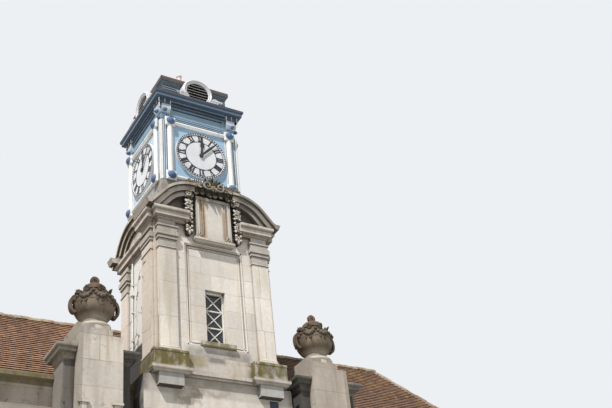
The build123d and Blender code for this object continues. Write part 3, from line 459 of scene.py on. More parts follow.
def mossed(s, colour, seed, amount, low, high, inner=-1.0, top=17.0):
    """Moss that comes in from level low to high, away from the middle and below a top level."""
    green = s.patches(4.2, 5, 0.36, 0.58, rough=0.7, stretch=(1, 1, 0.45), seed=seed + 2)
    level = s.times(s.ease(s.z, low, high), s.ease(s.z, top, top + 0.2, 1.0, 0.0))
    away = s.ease(s.size(s.x), inner, inner + 0.25)
    return s.layer(colour, MOSS, green, level, away, amount)


def cracked(s, colour, amount, seed):
    """Wandering cracks on the side that faces -x, fainter at its front edge."""
    split = s.ease(s.veins(0.85), 0.006, 0.014, 1.0, 0.0)
    some = s.patches(1.1, 2, 0.34, 0.44, seed=seed + 4)
    sides = s.times(s.ease(s.nx, -0.8, -0.6, 1.0, 0.0), s.ease(s.y, -1.25, -1.15, 0.35, 1.0))
    return s.layer(colour, CRACK, split, amount, some, sides)


def stone(name, base, course=0.0, block=1.0, soot_and_shade=0.5, streak=0.4, crust=0.3, moss=(), cracks=0.0,
          stains=(), zones=(), joint=0.6, reach=0.40, edges=0.5, under=0.5, seed=0.0):
    """Weathered limestone: blocks, joints, rain streaks, soot with painted shade in corners and creases,
    painted shade on faces that look down, moss and crust.
    """
    s = Shade(name)
    dark = scaled(base, 0.30, 0.275, 0.24)
    fine = s.noise(14, 6, rough=0.65, seed=seed)
    colour = s.tint(base, s.patches(0.9, 3, 0.3, 0.75, 0.92, 1.04, seed=seed))
    colour = s.tint(colour, s.ease(fine, 0.25, 0.75, 0.90, 1.06))
    warm = s.patches(2.3, 3, 0.42, 0.72, 0.0, 0.45, seed=seed + 3)
    colour = s.layer(colour, scaled(base, 0.98, 0.89, 0.76), warm)
    if course:
        colour = coursed(s, colour, dark, course, block, joint, seed)
    thin_runs = s.patches(5.0, 4, 0.50, 0.70, stretch=(1, 1, 0.08), seed=seed + 5)
    colour = s.layer(colour, scaled(base, 0.55, 0.47, 0.36), thin_runs, streak * 0.8)
    wide_runs = s.patches(1.7, 3, 0.46, 0.70, stretch=(1, 1, 0.16), seed=seed + 6)
    colour = s.layer(colour, dark, wide_runs, streak * 0.7)
    # Darkening by occlusion in corners and creases: soot with painted shade.
    shallow = reach < 0.2
    corner = s.ease(s.crevice(reach), *((0.14, 0.62) if shallow else (0.30, 0.90)))
    black = 0.05 if shallow else 0.20
    colour = s.layer(colour, scaled(base, black, black * 0.9, black * 0.78), corner, soot_and_shade)
    crease_shade = s.ease(s.crevice(0.075), 0.16, 0.50)
    colour = s.layer(colour, scaled(base, 0.16, 0.14, 0.12), crease_shade, soot_and_shade * edges)
    # Faces that look down are darkened: painted shade.
    below = s.ease(s.nz, -0.75, -0.25, 1.0, 0.0)
    colour = s.layer(colour, scaled(base, 0.13, 0.11, 0.09), below, under)
    flat = s.ease(s.nz, 0.35, 0.9)
    colour = s.layer(colour, BLACK_CRUST, flat, s.ease(fine, 0.35, 0.6, 0.3, 0.95), crust)
    spots = s.patches(6.5, 5, 0.58, 0.67, rough=0.7, seed=seed + 9)
    colour = s.layer(colour, dark, spots, crust)
    for zone in zones:
        colour = s.zone(colour, *zone)
    for stain in stains:
        colour = stained(s, colour, scaled(base, 0.46, 0.42, 0.37), *stain)
    if moss:
        colour = mossed(s, colour, seed, *moss)
    if cracks:
        colour = cracked(s, colour, cracks, seed)
    s.bump(fine, 0.006)
    s.bump(s.noise(90, 3, seed=seed), 0.0015)
    s.finish(colour, s.ease(fine, 0.2, 0.8, 0.82, 0.95), Specular_IOR_Level=0.3)


def paint(name, base, dirt_and_shade=0.4, rust=0.0, gloss=0.45, zones=(), seed=0.0):
    """Old paint on wood and metal: chalky patches, rain runs, and dirt with painted shade in corners."""
    s = Shade(name)
    large = s.noise(2.4, 4, seed=seed)
    fine = s.noise(30, 5, seed=seed)
    colour = s.tint(base, s.ease(large, 0.3, 0.7, 0.90, 1.05))
    colour = s.tint(colour, s.ease(fine, 0.25, 0.75, 0.95, 1.03))
    runs = s.patches(11, 4, 0.55, 0.75, stretch=(1, 1, 0.07), seed=seed + 4)
    colour = s.layer(colour, scaled(base, 0.5, 0.47, 0.42), runs, dirt_and_shade * 0.7)
    for zone in zones:
        colour = s.zone(colour, *zone)
    # Corners darkened by occlusion: painted shade.
    corner = s.ease(s.crevice(0.12), 0.4, 0.95)
    colour = s.layer(colour, scaled(base, 0.22, 0.20, 0.19), corner, dirt_and_shade)
    if rust:
        spots = s.patches(9, 5, 0.56, 0.66, rough=0.7, seed=seed + 6)
        colour = s.layer(colour, RUST, spots, rust)
    s.bump(fine, 0.0012)
    s.finish(colour, s.ease(large, 0.3, 0.7, gloss - 0.05, gloss + 0.15))


def tile_clay(name, dark_tone, light_tone, crusted):
    """Clay plain tiles: tints in cells of about a tile, lichen near the ridge, dark weathering, and painted
    shade on the tiles' lower edges.
    """
    s = Shade(name)
    weathered, lichen_tone = (0.105, 0.065, 0.048), (0.50, 0.28, 0.035)
    cells = [s.math("FLOOR", s.math("DIVIDE", part, size))
             for part, size in ((s.x, 0.17), (s.z, 0.13), (s.y, 0.17))]
    colour = s.mix(s.ease(s.chance(*cells), 0.0, 1.0), dark_tone, light_tone)
    colour = s.layer(colour, weathered, s.patches(1.3, 4, 0.35, 0.65), 0.35)
    colour = s.layer(colour, weathered, s.ease(s.x, 1.0, 4.0, 0.0, 0.34))
    fine = s.noise(24, 5, rough=0.7)
    colour = s.tint(colour, s.ease(fine, 0.25, 0.75, 0.75, 1.15))
    lichen = s.patches(3.4, 5, 0.55, 0.66, rough=0.75, seed=4)
    top = s.ease(s.plus(s.z, s.times(s.x, 0.13)), 12.5, 13.2)
    colour = s.layer(colour, lichen_tone, lichen, s.plus(0.05, s.times(top, 0.75)))
    pale = s.patches(8.0, 5, 0.42, 0.60, rough=0.7, seed=9)
    colour = s.layer(colour, (0.42, 0.38, 0.30), pale, s.ease(s.z, 12.5, 13.0, 0.1 * crusted, crusted))
    # The lower edges of the tiles, which face down the slope, are darkened: painted shade under each lap.
    butt = s.ease(s.nz, -0.25, 0.25, 0.9 - crusted, 0.0)
    colour = s.layer(colour, (0.045, 0.028, 0.020), butt)
    s.bump(fine, 0.003)
    s.finish(colour, s.ease(fine, 0.2, 0.8, 0.75, 0.95))


def dial_face():
    """White enamel with grey rain streaks, and painted shade in the corner along its rim."""
    s = Shade("dial_face")
    colour = s.tint((0.70, 0.715, 0.73), s.patches(3.0, 4, 0.3, 0.7, 0.93, 1.03))
    runs = s.patches(9, 4, 0.54, 0.72, stretch=(1, 1, 0.12), seed=2)
    colour = s.layer(colour, (0.36, 0.41, 0.46), runs, 0.45)
    # Darkening by occlusion along the rim: painted shade.
    corner = s.ease(s.crevice(0.08), 0.45, 0.95)
    colour = s.layer(colour, (0.20, 0.21, 0.22), corner, 0.35)
    s.bump(s.noise(26, 5), 0.0008)
    s.finish(colour, 0.42)


def dark_glass():
    """Window glass over a dark room, with patches of dust."""
    s = Shade("dark_glass")
    dust = s.patches(7, 5, 0.35, 0.75, rough=0.7)
    colour = s.mix(dust, (0.012, 0.016, 0.022), (0.050, 0.055, 0.060))
    s.bump(s.noise(1.5, 2), 0.004)
    s.finish(colour, s.ease(dust, 0.0, 1.0, 0.08, 0.30))


stone("stage_stone", (0.735, 0.685, 0.630), 0.46, 2.6, soot_and_shade=0.8, streak=0.22, crust=0.06, cracks=0.8,
      joint=0.36,
      zones=(((0.70, 0.705, 0.695), 0.8, ("nx", -0.6, -0.8), ("y", -0.95, -0.90)),
             # Brown at the outer edges: staining with painted shade.
             ((0.50, 0.40, 0.30), 0.5, ("side", 1.50, 1.53)),
             # Near-black at the foot of the left side faces: painted shadow.
             (SHADE_AND_DAMP, 1.4, ("z", 12.10, 11.98), ("nx", -0.6, -0.8), ("x", -1.55, -1.45), ("x", -1.20, -1.25)),
             # Darker high up under the pediments: soot with painted shade.
             (SOOT_AND_SHADE, 0.7, ("z", 14.35, 14.75)),
             # Near-black low in the middle below the sill: painted shade.
             (SHADE_AND_DAMP, 0.6, ("z", 11.45, 11.2), ("side", 0.95, 0.75))))
stone("pilaster_stone", (0.77, 0.715, 0.65), 0.92, 4.0, soot_and_shade=0.85, streak=0.45, crust=0.10, joint=0.45,
      edges=0.8, under=1.0, seed=2,
      zones=((SOOT_AND_SHADE, 0.5, ("z", 13.80, 13.90)), ((0.42, 0.33, 0.24), 0.5, ("z", 11.25, 11.10))))
stone("shaft_stone", (0.70, 0.65, 0.59), 0.46, 2.6, soot_and_shade=0.85, streak=0.4, crust=0.12, joint=0.35, seed=3,
      stains=((-0.84, 10.16, 0.31, 0.28, 0.85, 0.85), (-0.10, 10.30, 0.34, 0.16, 0.9, 0.6)),
      # Near-black on the side faces: painted shade.
      zones=((SHADE_AND_DAMP, 0.95, ("face", 0.5, 0.7)),
             # Darker under the plinth: painted shadow of the plinth, with staining.
             ((0.43, 0.395, 0.35), 0.85, ("z", 10.02, 10.12)),
             (SOOT_AND_SHADE, 0.35, ("z", 10.2, 10.5)),
             # Near-black at the outer edges low down: painted shade.
             (SHADE_AND_DAMP, 0.7, ("side", 1.72, 1.90), ("z", 10.0, 10.2))))
stone("wall_stone", (0.46, 0.41, 0.35), 0.42, 0.95, soot_and_shade=0.8, streak=0.40, crust=0.2, joint=0.5, seed=4,
      zones=(((0.24, 0.205, 0.165), 0.7, ("z", 8.9, 9.9)), ((0.22, 0.20, 0.15), 0.5, ("z", 0.7, 0.2))))
stone("parapet_stone", (0.262, 0.226, 0.186), 0.42, 0.95, soot_and_shade=0.8, streak=1.3, crust=1.0, joint=0.4,
      zones=((SOOT_AND_SHADE, 0.45, ("z", 9.30, 9.85)),), moss=(0.55, 9.9, 10.3), seed=4.5)
# Piers: near-black stone for painted shade with soot, near-black next to the tower for painted shade, and
# paler at the outer ends for painted light.
stone("pier_stone", (0.130, 0.119, 0.108), 0.62, 1.6, soot_and_shade=0.9, streak=0.9, crust=0.9, joint=0.4, seed=5,
      zones=((SHADE_AND_DAMP, 0.9, ("side", 2.62, 2.42)), ((0.34, 0.31, 0.27), 0.8, ("side", 3.66, 3.80))))
# Pier caps: near-black next to the tower, painted shade.
stone("pier_cap", (0.33, 0.295, 0.25), soot_and_shade=0.95, streak=0.6, crust=0.6, seed=5.5,
      zones=((SHADE_AND_DAMP, 0.9, ("side", 2.62, 2.42)), ((0.11, 0.105, 0.10), 0.75, ("x", 3.5, 3.7))))
stone("coping_stone", (0.24, 0.205, 0.155), soot_and_shade=0.7, streak=0.6, crust=0.6, moss=(0.8, 9.9, 10.3), seed=6)
stone("trim_stone", (0.60, 0.55, 0.495), soot_and_shade=0.95, streak=0.7, crust=0.6, edges=1.0, under=0.65, seed=7)
stone("arch_stone", (0.52, 0.475, 0.425), soot_and_shade=1.0, streak=0.8, crust=0.9, edges=1.0, under=1.0,
      moss=(0.4, 15.1, 15.5, 1.2), reach=0.16, seed=10,
      # Darker on the right arch: painted shade.
      zones=((SOOT_AND_SHADE, 0.72, ("x", 0.62, 0.80)),
             ((0.085, 0.068, 0.055), 0.92, ("y", -1.74, -1.70), ("ny", -0.7, -0.9), ("z", 15.02, 15.22)),
             (SOOT_AND_SHADE, 0.75, ("nz", 0.55, 0.8))))
stone("tablet_stone", (0.62, 0.58, 0.53), soot_and_shade=0.8, streak=0.3, crust=0.12, seed=8,
      zones=(((0.31, 0.195, 0.090), 0.90, ("x", -0.40, -0.34), ("x", -0.17, -0.27)),
             ((0.33, 0.215, 0.120), 0.75, ("x", 0.24, 0.28), ("x", 0.39, 0.34), ("z", 15.4, 15.1)),
             (SOOT_AND_SHADE, 0.5, ("z", 15.28, 15.45))))
stone("sill_stone", (0.60, 0.55, 0.48), soot_and_shade=0.85, streak=0.5, crust=0.4, 
      moss=(0.8, 11.2, 11.4, -1.0, 12.0), seed=9)
stone("mossy_stone", (0.56, 0.515, 0.462), soot_and_shade=0.85, streak=0.5, crust=0.3,
      moss=(1.0, 10.58, 10.72, 0.62), seed=12,
      # Near-black at the outer ends: painted shade.
      zones=((SHADE_AND_DAMP, 0.9, ("side", 1.83, 1.88)),
             ((0.105, 0.092, 0.048), 0.85, ("nx", -0.6, -0.8)),
             (SOOT_AND_SHADE, 0.55, ("side", 1.00, 1.12), ("z", 10.70, 10.80)),
             (SOOT_AND_SHADE, 0.75, ("x", -0.36, -0.22), ("x", 0.22, 0.08), ("z", 10.86, 10.98)),
             ((0.26, 0.205, 0.075), 0.6, ("x", -0.80, -0.70), ("x", -0.25, -0.45), ("z", 10.72, 10.82))))
stone("bracket_stone", (0.42, 0.412, 0.39), soot_and_shade=0.9, streak=0.3, crust=0.15, under=1.0, seed=13,
      # Near-black at the outer ends: painted shade.
      zones=((SHADE_AND_DAMP, 1.0, ("side", 1.60, 1.68)),))
stone("pedestal_stone", (0.615, 0.56, 0.50), 0.62, 2.6, soot_and_shade=0.65, streak=0.6, crust=0.35, cracks=0.8,
      joint=0.5, seed=15,
      zones=((SOOT_AND_SHADE, 0.35, ("z", 10.9, 11.35)),
             ((0.26, 0.23, 0.19), 0.8, ("side", 3.34, 3.38)),
             ((0.30, 0.25, 0.20), 0.6, ("x", 2.0, 2.2))))
HANDLE = ((0.085, 0.060, 0.042), 0.75, ("z", 11.62, 11.66))
stone("urn_stone", (0.245, 0.194, 0.144), soot_and_shade=1.0, streak=1.0, crust=1.0, reach=0.15, seed=21,
      zones=(((0.42, 0.37, 0.30), 0.60, ("z", 11.86, 11.74)),
             ((0.62, 0.565, 0.49), 0.95, ("z", 11.60, 11.54)),
             ((0.052, 0.041, 0.032), 0.50, ("z", 12.02, 12.14)),
             (*HANDLE, ("side", 2.60, 2.52)), (*HANDLE, ("side", 3.31, 3.39)),
             ((0.30, 0.13, 0.05), 0.14, ("z", 12.3, 12.6))))
stone("fruit_stone", (0.69, 0.635, 0.56), soot_and_shade=1.0, streak=0.3, crust=0.55, reach=0.13, seed=23,
      zones=(((0.125, 0.103, 0.075), 0.76, ("z", 15.58, 15.76)),
             ((0.060, 0.048, 0.036), 1.1, ("side", 0.58, 0.54), ("z", 15.80, 15.72))),
      moss=(0.55, 15.85, 16.02))
stone("leaf_stone", (0.095, 0.076, 0.056), soot_and_shade=0.8, crust=0.5, seed=22)
# Near-black stone for the lumps and dark parts of the carving: painted shade, with soot.
stone("soot_and_shade_stone", (0.060, 0.053, 0.045), soot_and_shade=0.8, crust=0.3, seed=24)
stone("inner_slab", (0.50, 0.48, 0.45), soot_and_shade=0.5, streak=0.1, crust=0.1, seed=31)
paint("cream_paint", (0.80, 0.795, 0.785), dirt_and_shade=0.6, rust=0.12, seed=1)
paint("ring_paint", (0.61, 0.61, 0.645), dirt_and_shade=0.8, rust=0.35, seed=1.5)
paint("blue_grey_paint", (0.47, 0.56, 0.64), dirt_and_shade=0.65, rust=0.03, seed=2,
      zones=(((0.27, 0.445, 0.61), 0.85, ("side", 0.84, 0.80)),))
paint("frieze_paint", (0.215, 0.315, 0.405), dirt_and_shade=0.7, rust=0.03, seed=3)
paint("slate_paint", (0.055, 0.085, 0.135), dirt_and_shade=0.6, rust=0.03, seed=4)
paint("white_paint", (0.72, 0.70, 0.64), dirt_and_shade=0.5, rust=0.12, seed=5)
paint("boss_paint", (0.082, 0.142, 0.265), dirt_and_shade=0.5, gloss=0.75, seed=6)
paint("hand_paint", (0.022, 0.022, 0.026), dirt_and_shade=0.2, gloss=0.4, seed=7)
paint("mark_paint", (0.022, 0.024, 0.034), dirt_and_shade=0.2, gloss=0.45, seed=8)
paint("attic_paint", (0.135, 0.170, 0.205), dirt_and_shade=0.8, rust=0.05, gloss=0.6, seed=9)
paint("cornice_paint", (0.050, 0.082, 0.132), dirt_and_shade=0.8, rust=0.03, gloss=0.65, seed=10,
      # A paler band on the fascia: painted highlight.
      zones=(((0.21, 0.26, 0.315), 0.85, ("z", 19.090, 19.096), ("z", 19.150, 19.144)),
             ((0.17, 0.195, 0.23), 0.30, ("nx", -0.6, -0.8)),
             ((0.15, 0.085, 0.055), 0.9, ("z", 19.228, 19.236))))
paint("rust_edge", (0.120, 0.078, 0.062), dirt_and_shade=0.5, rust=0.3, gloss=0.7, seed=11)
paint("pink_paint", (0.66, 0.50, 0.47), dirt_and_shade=0.4, seed=12)
tile_clay("clay_tiles", (0.275, 0.148, 0.090), (0.395, 0.222, 0.138), 0.0)
tile_clay("ridge_clay", (0.29, 0.185, 0.125), (0.40, 0.27, 0.18), 0.8)
dial_face()
dark_glass()

# The look of each node of the part; the clock hands, which are not listed, take hand_paint
NODE_LOOK = {
    "inner_slab": "ground_floor upper_floor", "wall_stone": "front_walls end_walls back_wall",
    "parapet_stone": "parapet", "coping_stone": "parapet_coping", "clay_tiles": "main_roof",
    "pier_stone": "screen_walls", "pier_cap": "screen_cornices", "pedestal_stone": "pedestals",
    "urn_stone": "urns", "shaft_stone": "tower_shaft", "mossy_stone": "tower_plinth",
    "bracket_stone": "tower_brackets", "stage_stone": "stage_walls", "pilaster_stone": "pilasters",
    "trim_stone": "stage_cornices", "arch_stone": "pediments", "tablet_stone": "tablet",
    "sill_stone": "stone_sills", "fruit_stone": "garlands", "frieze_paint": "clock_frieze",
    "blue_grey_paint": "clock_stage_walls frieze_brackets", "cream_paint": "clock_frames",
    "boss_paint": "blue_bosses", "dial_face": "dials", "cornice_paint": "clock_cornice",
    "attic_paint": "attic_walls attic_coping", "ring_paint": "round_dormers", "rust_edge": "tower_cap",
    "pink_paint": "ball_finial", "dark_glass": "storey_windows lattice_window_leaf",
}
looks = {node: look for look, nodes in NODE_LOOK.items() for node in nodes.split()}
for node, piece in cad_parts.items():
    piece.data.materials.clear()
    piece.data.materials.append(bpy.data.materials[looks.get(node, "hand_paint")])


# Roof tiles: rows of thin plates on all four slopes, with ridge and hip tiles over their ends

TILE_GAUGE, TILE_WIDTH, TILE_THICKNESS = 0.105, 0.168, 0.020
TILE_LAP, TILE_GAP, TILE_TAIL, TILE_HEAD = 0.02, 0.003, 0.012, 0.004
RIDGE_TILE_LENGTH, RIDGE_BED = 0.33, 0.02
RIDGE_SKIRT = (0.126, -0.082)
RIDGE_OUTLINE = [(-RIDGE_SKIRT[0], RIDGE_SKIRT[1])]
RIDGE_OUTLINE += [(math.sin(math.radians(d)) * 0.12, math.cos(math.radians(d)) * 0.085 - 0.045)
                  for d in range(-80, 81, 20)]
RIDGE_OUTLINE.append(RIDGE_SKIRT)


def ridge_run(caps, start, end):
    """A row of lapped half-round tiles from one point to another."""
    start, end = Vector(start), Vector(end)
    count = int((end - start).length / RIDGE_TILE_LENGTH)
    step = (end - start) / count
    along = step.normalized()
    side = along.cross(Vector((0, 0, 1))).normalized()
    up = side.cross(along)
    n = len(RIDGE_OUTLINE)
    for i in range(count):
        a = start + step * i - along * 0.01
        b = start + step * (i + 1) + along * 0.02
        lift = 0.012 * (i % 2) + random.uniform(0, 0.004)
        points = [end_point + side * u + up * (v + lift) for end_point in (a, b) for u, v in RIDGE_OUTLINE]
        faces = [(k, k + 1, n + k + 1, n + k) for k in range(n - 1)]
        caps.add(points, faces + [list(range(n)), list(range(2 * n - 1, n - 1, -1))])


def lay_tile(tiles, spot, up, off, turn):
    """One plate of the slope, lifted and leaned a little at random."""
    half = TILE_WIDTH / 2 - TILE_GAP
    lift = 0.010 + random.uniform(0, 0.007)
    lean = random.uniform(-0.004, 0.004)
    points = []
    for side, skew in ((-1, -lean), (1, lean)):
        a = spot - up * TILE_TAIL + Vector((side * half, 0, 0))
        b = a + up * (TILE_GAUGE + TILE_LAP)
        points += [a + off * (lift + TILE_THICKNESS + skew), b + off * TILE_HEAD, a + off * (lift + skew)]
    tiles.add(points, [(0, 3, 4, 1), (0, 2, 5, 3), (0, 1, 2), (3, 5, 4)], turn)


def roof_tiles():
    low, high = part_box("main_roof")
    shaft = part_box("tower_shaft")[1]
    middle = (low.y + high.y) / 2
    half_length, half_depth = high.x, (high.y - low.y) / 2
    rise = high.z - low.z
    slope = math.hypot(half_depth, rise)
    up = Vector((0, half_depth, rise)) / slope
    off = Vector((0, -rise, half_depth)) / slope
    rows = int(slope / TILE_GAUGE)
    tiles, caps = Shape(), Shape()
    for angle in FACES:
        reach, out = (half_depth, half_length) if angle % 180 else (half_length, half_depth)
        turn = at(Matrix.Translation((0, middle, 0)), turn=angle, axis="Z")
        for row in range(rows):
            share = row / rows
            span = reach - half_depth * share
            count = int(2 * span / TILE_WIDTH)
            for i in range(count):
                x = -span + (2 * span - count * TILE_WIDTH) / 2 + (i + 0.5) * TILE_WIDTH
                x += TILE_WIDTH / 2 * (row % 2) * (1 if i < count - 1 else 0)
                spot = Vector((x, -out + half_depth * share, low.z + rise * share))
                there = turn @ spot
                if abs(there.x) < shaft.x + 0.12 and there.y < shaft.y + 0.1:
                    continue
                lay_tile(tiles, spot, up, off, turn)
    tiles.make("roof_tiles", "clay_tiles", "roof_tile")
    ridge, top = half_length - half_depth, high.z - RIDGE_BED
    ridge_run(caps, (-ridge, middle, top), (ridge, middle, top))
    for sx in (-1, 1):
        for sy in (-1, 1):
            ridge_run(caps, (sx * half_length, middle + sy * half_depth, low.z + RIDGE_BED),
                      (sx * ridge, middle, top))
    caps.make("ridge_tiles", "ridge_clay", "roof_tile")


roof_tiles()


# Clock dials: rings, minute marks and numerals on each face

HOURS = ("XII", "I", "II", "III", "IIII", "V", "VI", "VII", "VIII", "IX", "X", "XI")
NUMERAL_HEIGHT, NUMERAL_RADIUS = 0.185, 0.577
RIM_DEPTH, MARK_INNER, MARK_OUTER = 0.025, 0.053, 0.017
MINUTE_HALF, HOUR_HALF, MARK_FOOT = 0.022, 0.030, 0.015
INNER_RING = 0.466


def numeral(text, height):
    """The strokes of one Roman numeral, as bars (start, end, width) about its centre."""
    thick, thin, gap = height * 0.235, height * 0.10, height * 0.11
    h, wide_letter, arm, leg = height / 2, height * 0.62, height * 0.23, height * 0.24
    shapes = {"I": (thick, [((0, -h), (0, h), thick)]),
              "V": (wide_letter, [((-arm, h), (0, -h), thick), ((arm, h), (0, -h), thin)]),
              "X": (wide_letter, [((-leg, h), (leg, -h), thick), ((leg, h), (-leg, -h), thin)])}
    total = sum(shapes[c][0] for c in text) + gap * (len(text) - 1)
    squeeze = min(1.0, height * 0.80 / total)
    bars, x = [], -total / 2
    for c in text:
        wide, strokes = shapes[c]
        x += wide / 2
        bars += [(((a[0] + x) * squeeze, a[1]), ((b[0] + x) * squeeze, b[1]), w * squeeze ** 0.4)
                 for a, b, w in strokes]
        x += wide / 2 + gap
    rail = total / 2 * squeeze + height * 0.05
    return bars + [((-rail, level), (rail, level), thin) for level in (h, -h)]


def dial_marks():
    low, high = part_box("dials")
    level, radius = (high.z + low.z) / 2, (high.z - low.z) / 2
    inner, outer = radius - MARK_INNER, radius - MARK_OUTER
    marks = Shape()
    for angle in FACES:
        place = face_place(angle, high.x - RIM_DEPTH, 0.0, level)
        upright = at(place, turn=90, axis="X")
        for ring, half, rise, fall in ((radius - 0.008, 0.005, 0.0262, 0.0202),
                                       (radius - 0.074, 0.0075, 0.004, 0.004),
                                       (INNER_RING, 0.0095, 0.004, 0.004)):
            marks.turned([(ring - half, 0), (ring - half, rise), (ring + half, fall), (ring + half, 0)],
                         72, upright)
        for minute in range(60):
            wide = MINUTE_HALF if minute % 5 else HOUR_HALF
            points = [(x, -y, z) for z, y in ((inner, 0.0218), (outer, 0.0260)) for x in (-wide, wide)]
            points += [(x, -MARK_FOOT, z) for z in (inner, outer) for x in (-wide, wide)]
            marks.add(points, [(0, 1, 3, 2), (0, 4, 5, 1), (2, 3, 7, 6), (0, 2, 6, 4), (1, 5, 7, 3)],
                      at(place, turn=minute * 6))
        for index, text in enumerate(HOURS):
            turn = at(place, turn=index * 30) @ Matrix.Translation((0, 0, NUMERAL_RADIUS))
            for start, end, width in numeral(text, NUMERAL_HEIGHT):
                marks.bar(start, end, width, 0.004, turn)
    marks.make("dial_marks", "mark_paint", "hand_black")


dial_marks()


# Clock stage: strips on the corner piers, boards of the frieze, bracket panels, cornice lines

BATTEN_ENDS = 0.02
ROLL_LEVELS = (0.145, 0.145 + 1.837)
BOSS_X, BOSS_PLATE = 0.905, 0.150
SLOT_DEPTH, GRILLE_BARS, GRILLE_HALF = 0.135, 30, 0.76
BOARD_HEIGHT, SHELF_BOARD, SHELF_HALF = 0.064, 0.095, 0.835
INNER_STRIPS = ((0.812, 0.014), (0.790, 0.009))
SOFFIT_RISE, CURL_RADIUS = 0.092, 0.042


def pier_strips(pale, grey, dark, half, low, high, wall):
    """Strips and boss plates on the corner piers of one side; the dark strips between the battens are
    painted shade in the gaps.
    """
    for side in (-1, 1):
        for shape, inset, wide, out in ((pale, 0.022, 0.044, 0.024), (grey, 0.085, 0.036, 0.018),
                                        (grey, 0.142, 0.030, 0.014), (dark, 0.056, 0.018, 0.006),
                                        (dark, 0.115, 0.026, 0.006), (dark, 0.170, 0.016, 0.006)):
            shape.post(side * (half - inset), wide, out, low + BATTEN_ENDS, high - BATTEN_ENDS, wall)
        for level in ROLL_LEVELS:
            plate = at(wall, (side * BOSS_X, -0.045, low + level))
            pale.box((-BOSS_PLATE, -0.035, -0.143), (BOSS_PLATE, 0.0, BOSS_PLATE), plate)
        for x, out in INNER_STRIPS:
            pale.post(side * x, 0.016, out, low + 0.25, high - 0.2, wall)


def frieze_front(boards, dark, slot, reach, foot, shelf, soffit, front):
    """Lapped boards below, each with a dark strip at its lap as painted shadow, and a shelf with a row of
    thin bars painted dark as shade and a dark plate above that paints the shade in the slot.
    """
    for i in range(3):
        z = foot + 0.012 + i * BOARD_HEIGHT
        half = reach - (0.003 if i < 2 else 0.273)
        boards.lap_board(half, z, z + BOARD_HEIGHT - 0.005, 0.018, front)
        # Dark strip at each lap: painted shadow.
        dark.post(0, 2 * half, 0.009, z + BOARD_HEIGHT - 0.012, z + BOARD_HEIGHT, front)
    for i, out in enumerate((0.050, 0.070)):
        z = shelf + SHELF_BOARD * i
        boards.lap_board(SHELF_HALF, z, z + SHELF_BOARD - 0.006, out, front)
    boards.box((-0.84, -0.074, shelf + 0.185), (0.84, 0, soffit), front)
    # Dark plate in the slot: painted shade.
    slot.box((-0.775, -0.080, shelf + 0.108), (0.775, -0.06, shelf + 0.172), front)
    for i in range(GRILLE_BARS):
        x = GRILLE_HALF * (2 * i / (GRILLE_BARS - 1) - 1)
        # Thin slanted bars, painted dark as shade lines.
        dark.post(0, 0.014, 0.052, -0.034, 0.034, at(front, (x, 0, shelf + 0.052), 24))


def bracket_face(pale, dark, edge, bosses, low, high, soffit, angle):
    """Frame, cap and rolled foot on one bracket of the frieze; a dark block at its top paints the cornice's
    shade.
    """
    place = face_place(angle, -low.y, (low.x + high.x) / 2)
    wide, base, head = (high.x - low.x) / 2, low.z + 0.10, high.z
    for x in (-wide, wide - 0.018):
        pale.box((x, -0.010, base), (x + 0.018, 0, head), place)
    # Dark block at the bracket's top: painted shade.
    dark.box((-wide + 0.01, -0.006, head - 0.055), (wide - 0.01, 0.08, soffit), place)
    for x in (-wide - 0.004, -0.008, wide - 0.014):
        pale.box((x, -0.012, head - 0.04), (x + 0.018, 0.08, soffit), place)
    edge.box((-wide - 0.006, -0.020, head - 0.072), (wide + 0.006, 0.07, head - 0.055), place)
    curl = [(0.0, 0.015 - 0.060 * math.sin(math.radians(30 * k)), base - 0.045 - 0.045 * k / 6)
            for k in range(7)]
    bosses.tube(curl, CURL_RADIUS, 8, place)


def clock_trim():
    low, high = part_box("clock_stage_walls")
    frieze_low, frieze_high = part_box("clock_frieze")
    frieze = frieze_high.x
    cornice_low, cornice_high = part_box("clock_cornice")
    rim, crest = cornice_high.x, cornice_high.z
    soffit, shelf = cornice_low.z + SOFFIT_RISE, cornice_low.z - SLOT_DEPTH
    brackets = [box for box in islands("frieze_brackets") if box[0].y < -frieze - 0.01]
    pale, dark, boards, edge, grey, slot, bosses = (Shape() for _ in range(7))
    for angle in FACES:
        pier_strips(pale, grey, dark, high.x, low.z, high.z, face_place(angle, high.x))
        frieze_front(boards, dark, slot, frieze, frieze_low.z, shelf, soffit, face_place(angle, frieze))
        edge.box((-rim, 0.0, crest - 0.020), (rim, 0.03, crest + 0.004), face_place(angle, rim + 0.003))
        # Pale lines along the fascia's edges: painted highlights.
        for line, z, deep in ((rim - 0.07, soffit + 0.012, 0.014), (rim - 0.055, soffit + 0.088, 0.012)):
            grey.box((-line, -0.004, z), (line, 0.05, z + deep), face_place(angle, line))
        for box in brackets:
            bracket_face(pale, dark, edge, bosses, *box, soffit, angle)
    pale.make("corner_battens", "cream_paint", "grey_paint", bevel=0.003)
    grey.make("grey_battens", "blue_grey_paint", "grey_paint", bevel=0.003)
    # Dark strips in gaps, under laps, on the slanted bars and under the bracket caps: painted shade.
    dark.make("shadow_lines", "slate_paint", "blue_paint")
    boards.make("frieze_boards", "frieze_paint", "grey_paint")
    edge.make("cornice_edge", "rust_edge", "lead_sheet")
    # The dark plate in each slot: painted shade.
    slot.make("frieze_slot_shade", "mark_paint", "blue_paint")
    bosses.make("bracket_scrolls", "boss_paint", "blue_paint", smooth=True)


clock_trim()


# Attic: lapped boards round the dormers, and a scrolled foot to each dormer

ATTIC_BOARD = 0.078
SCROLL_STEPS = 14


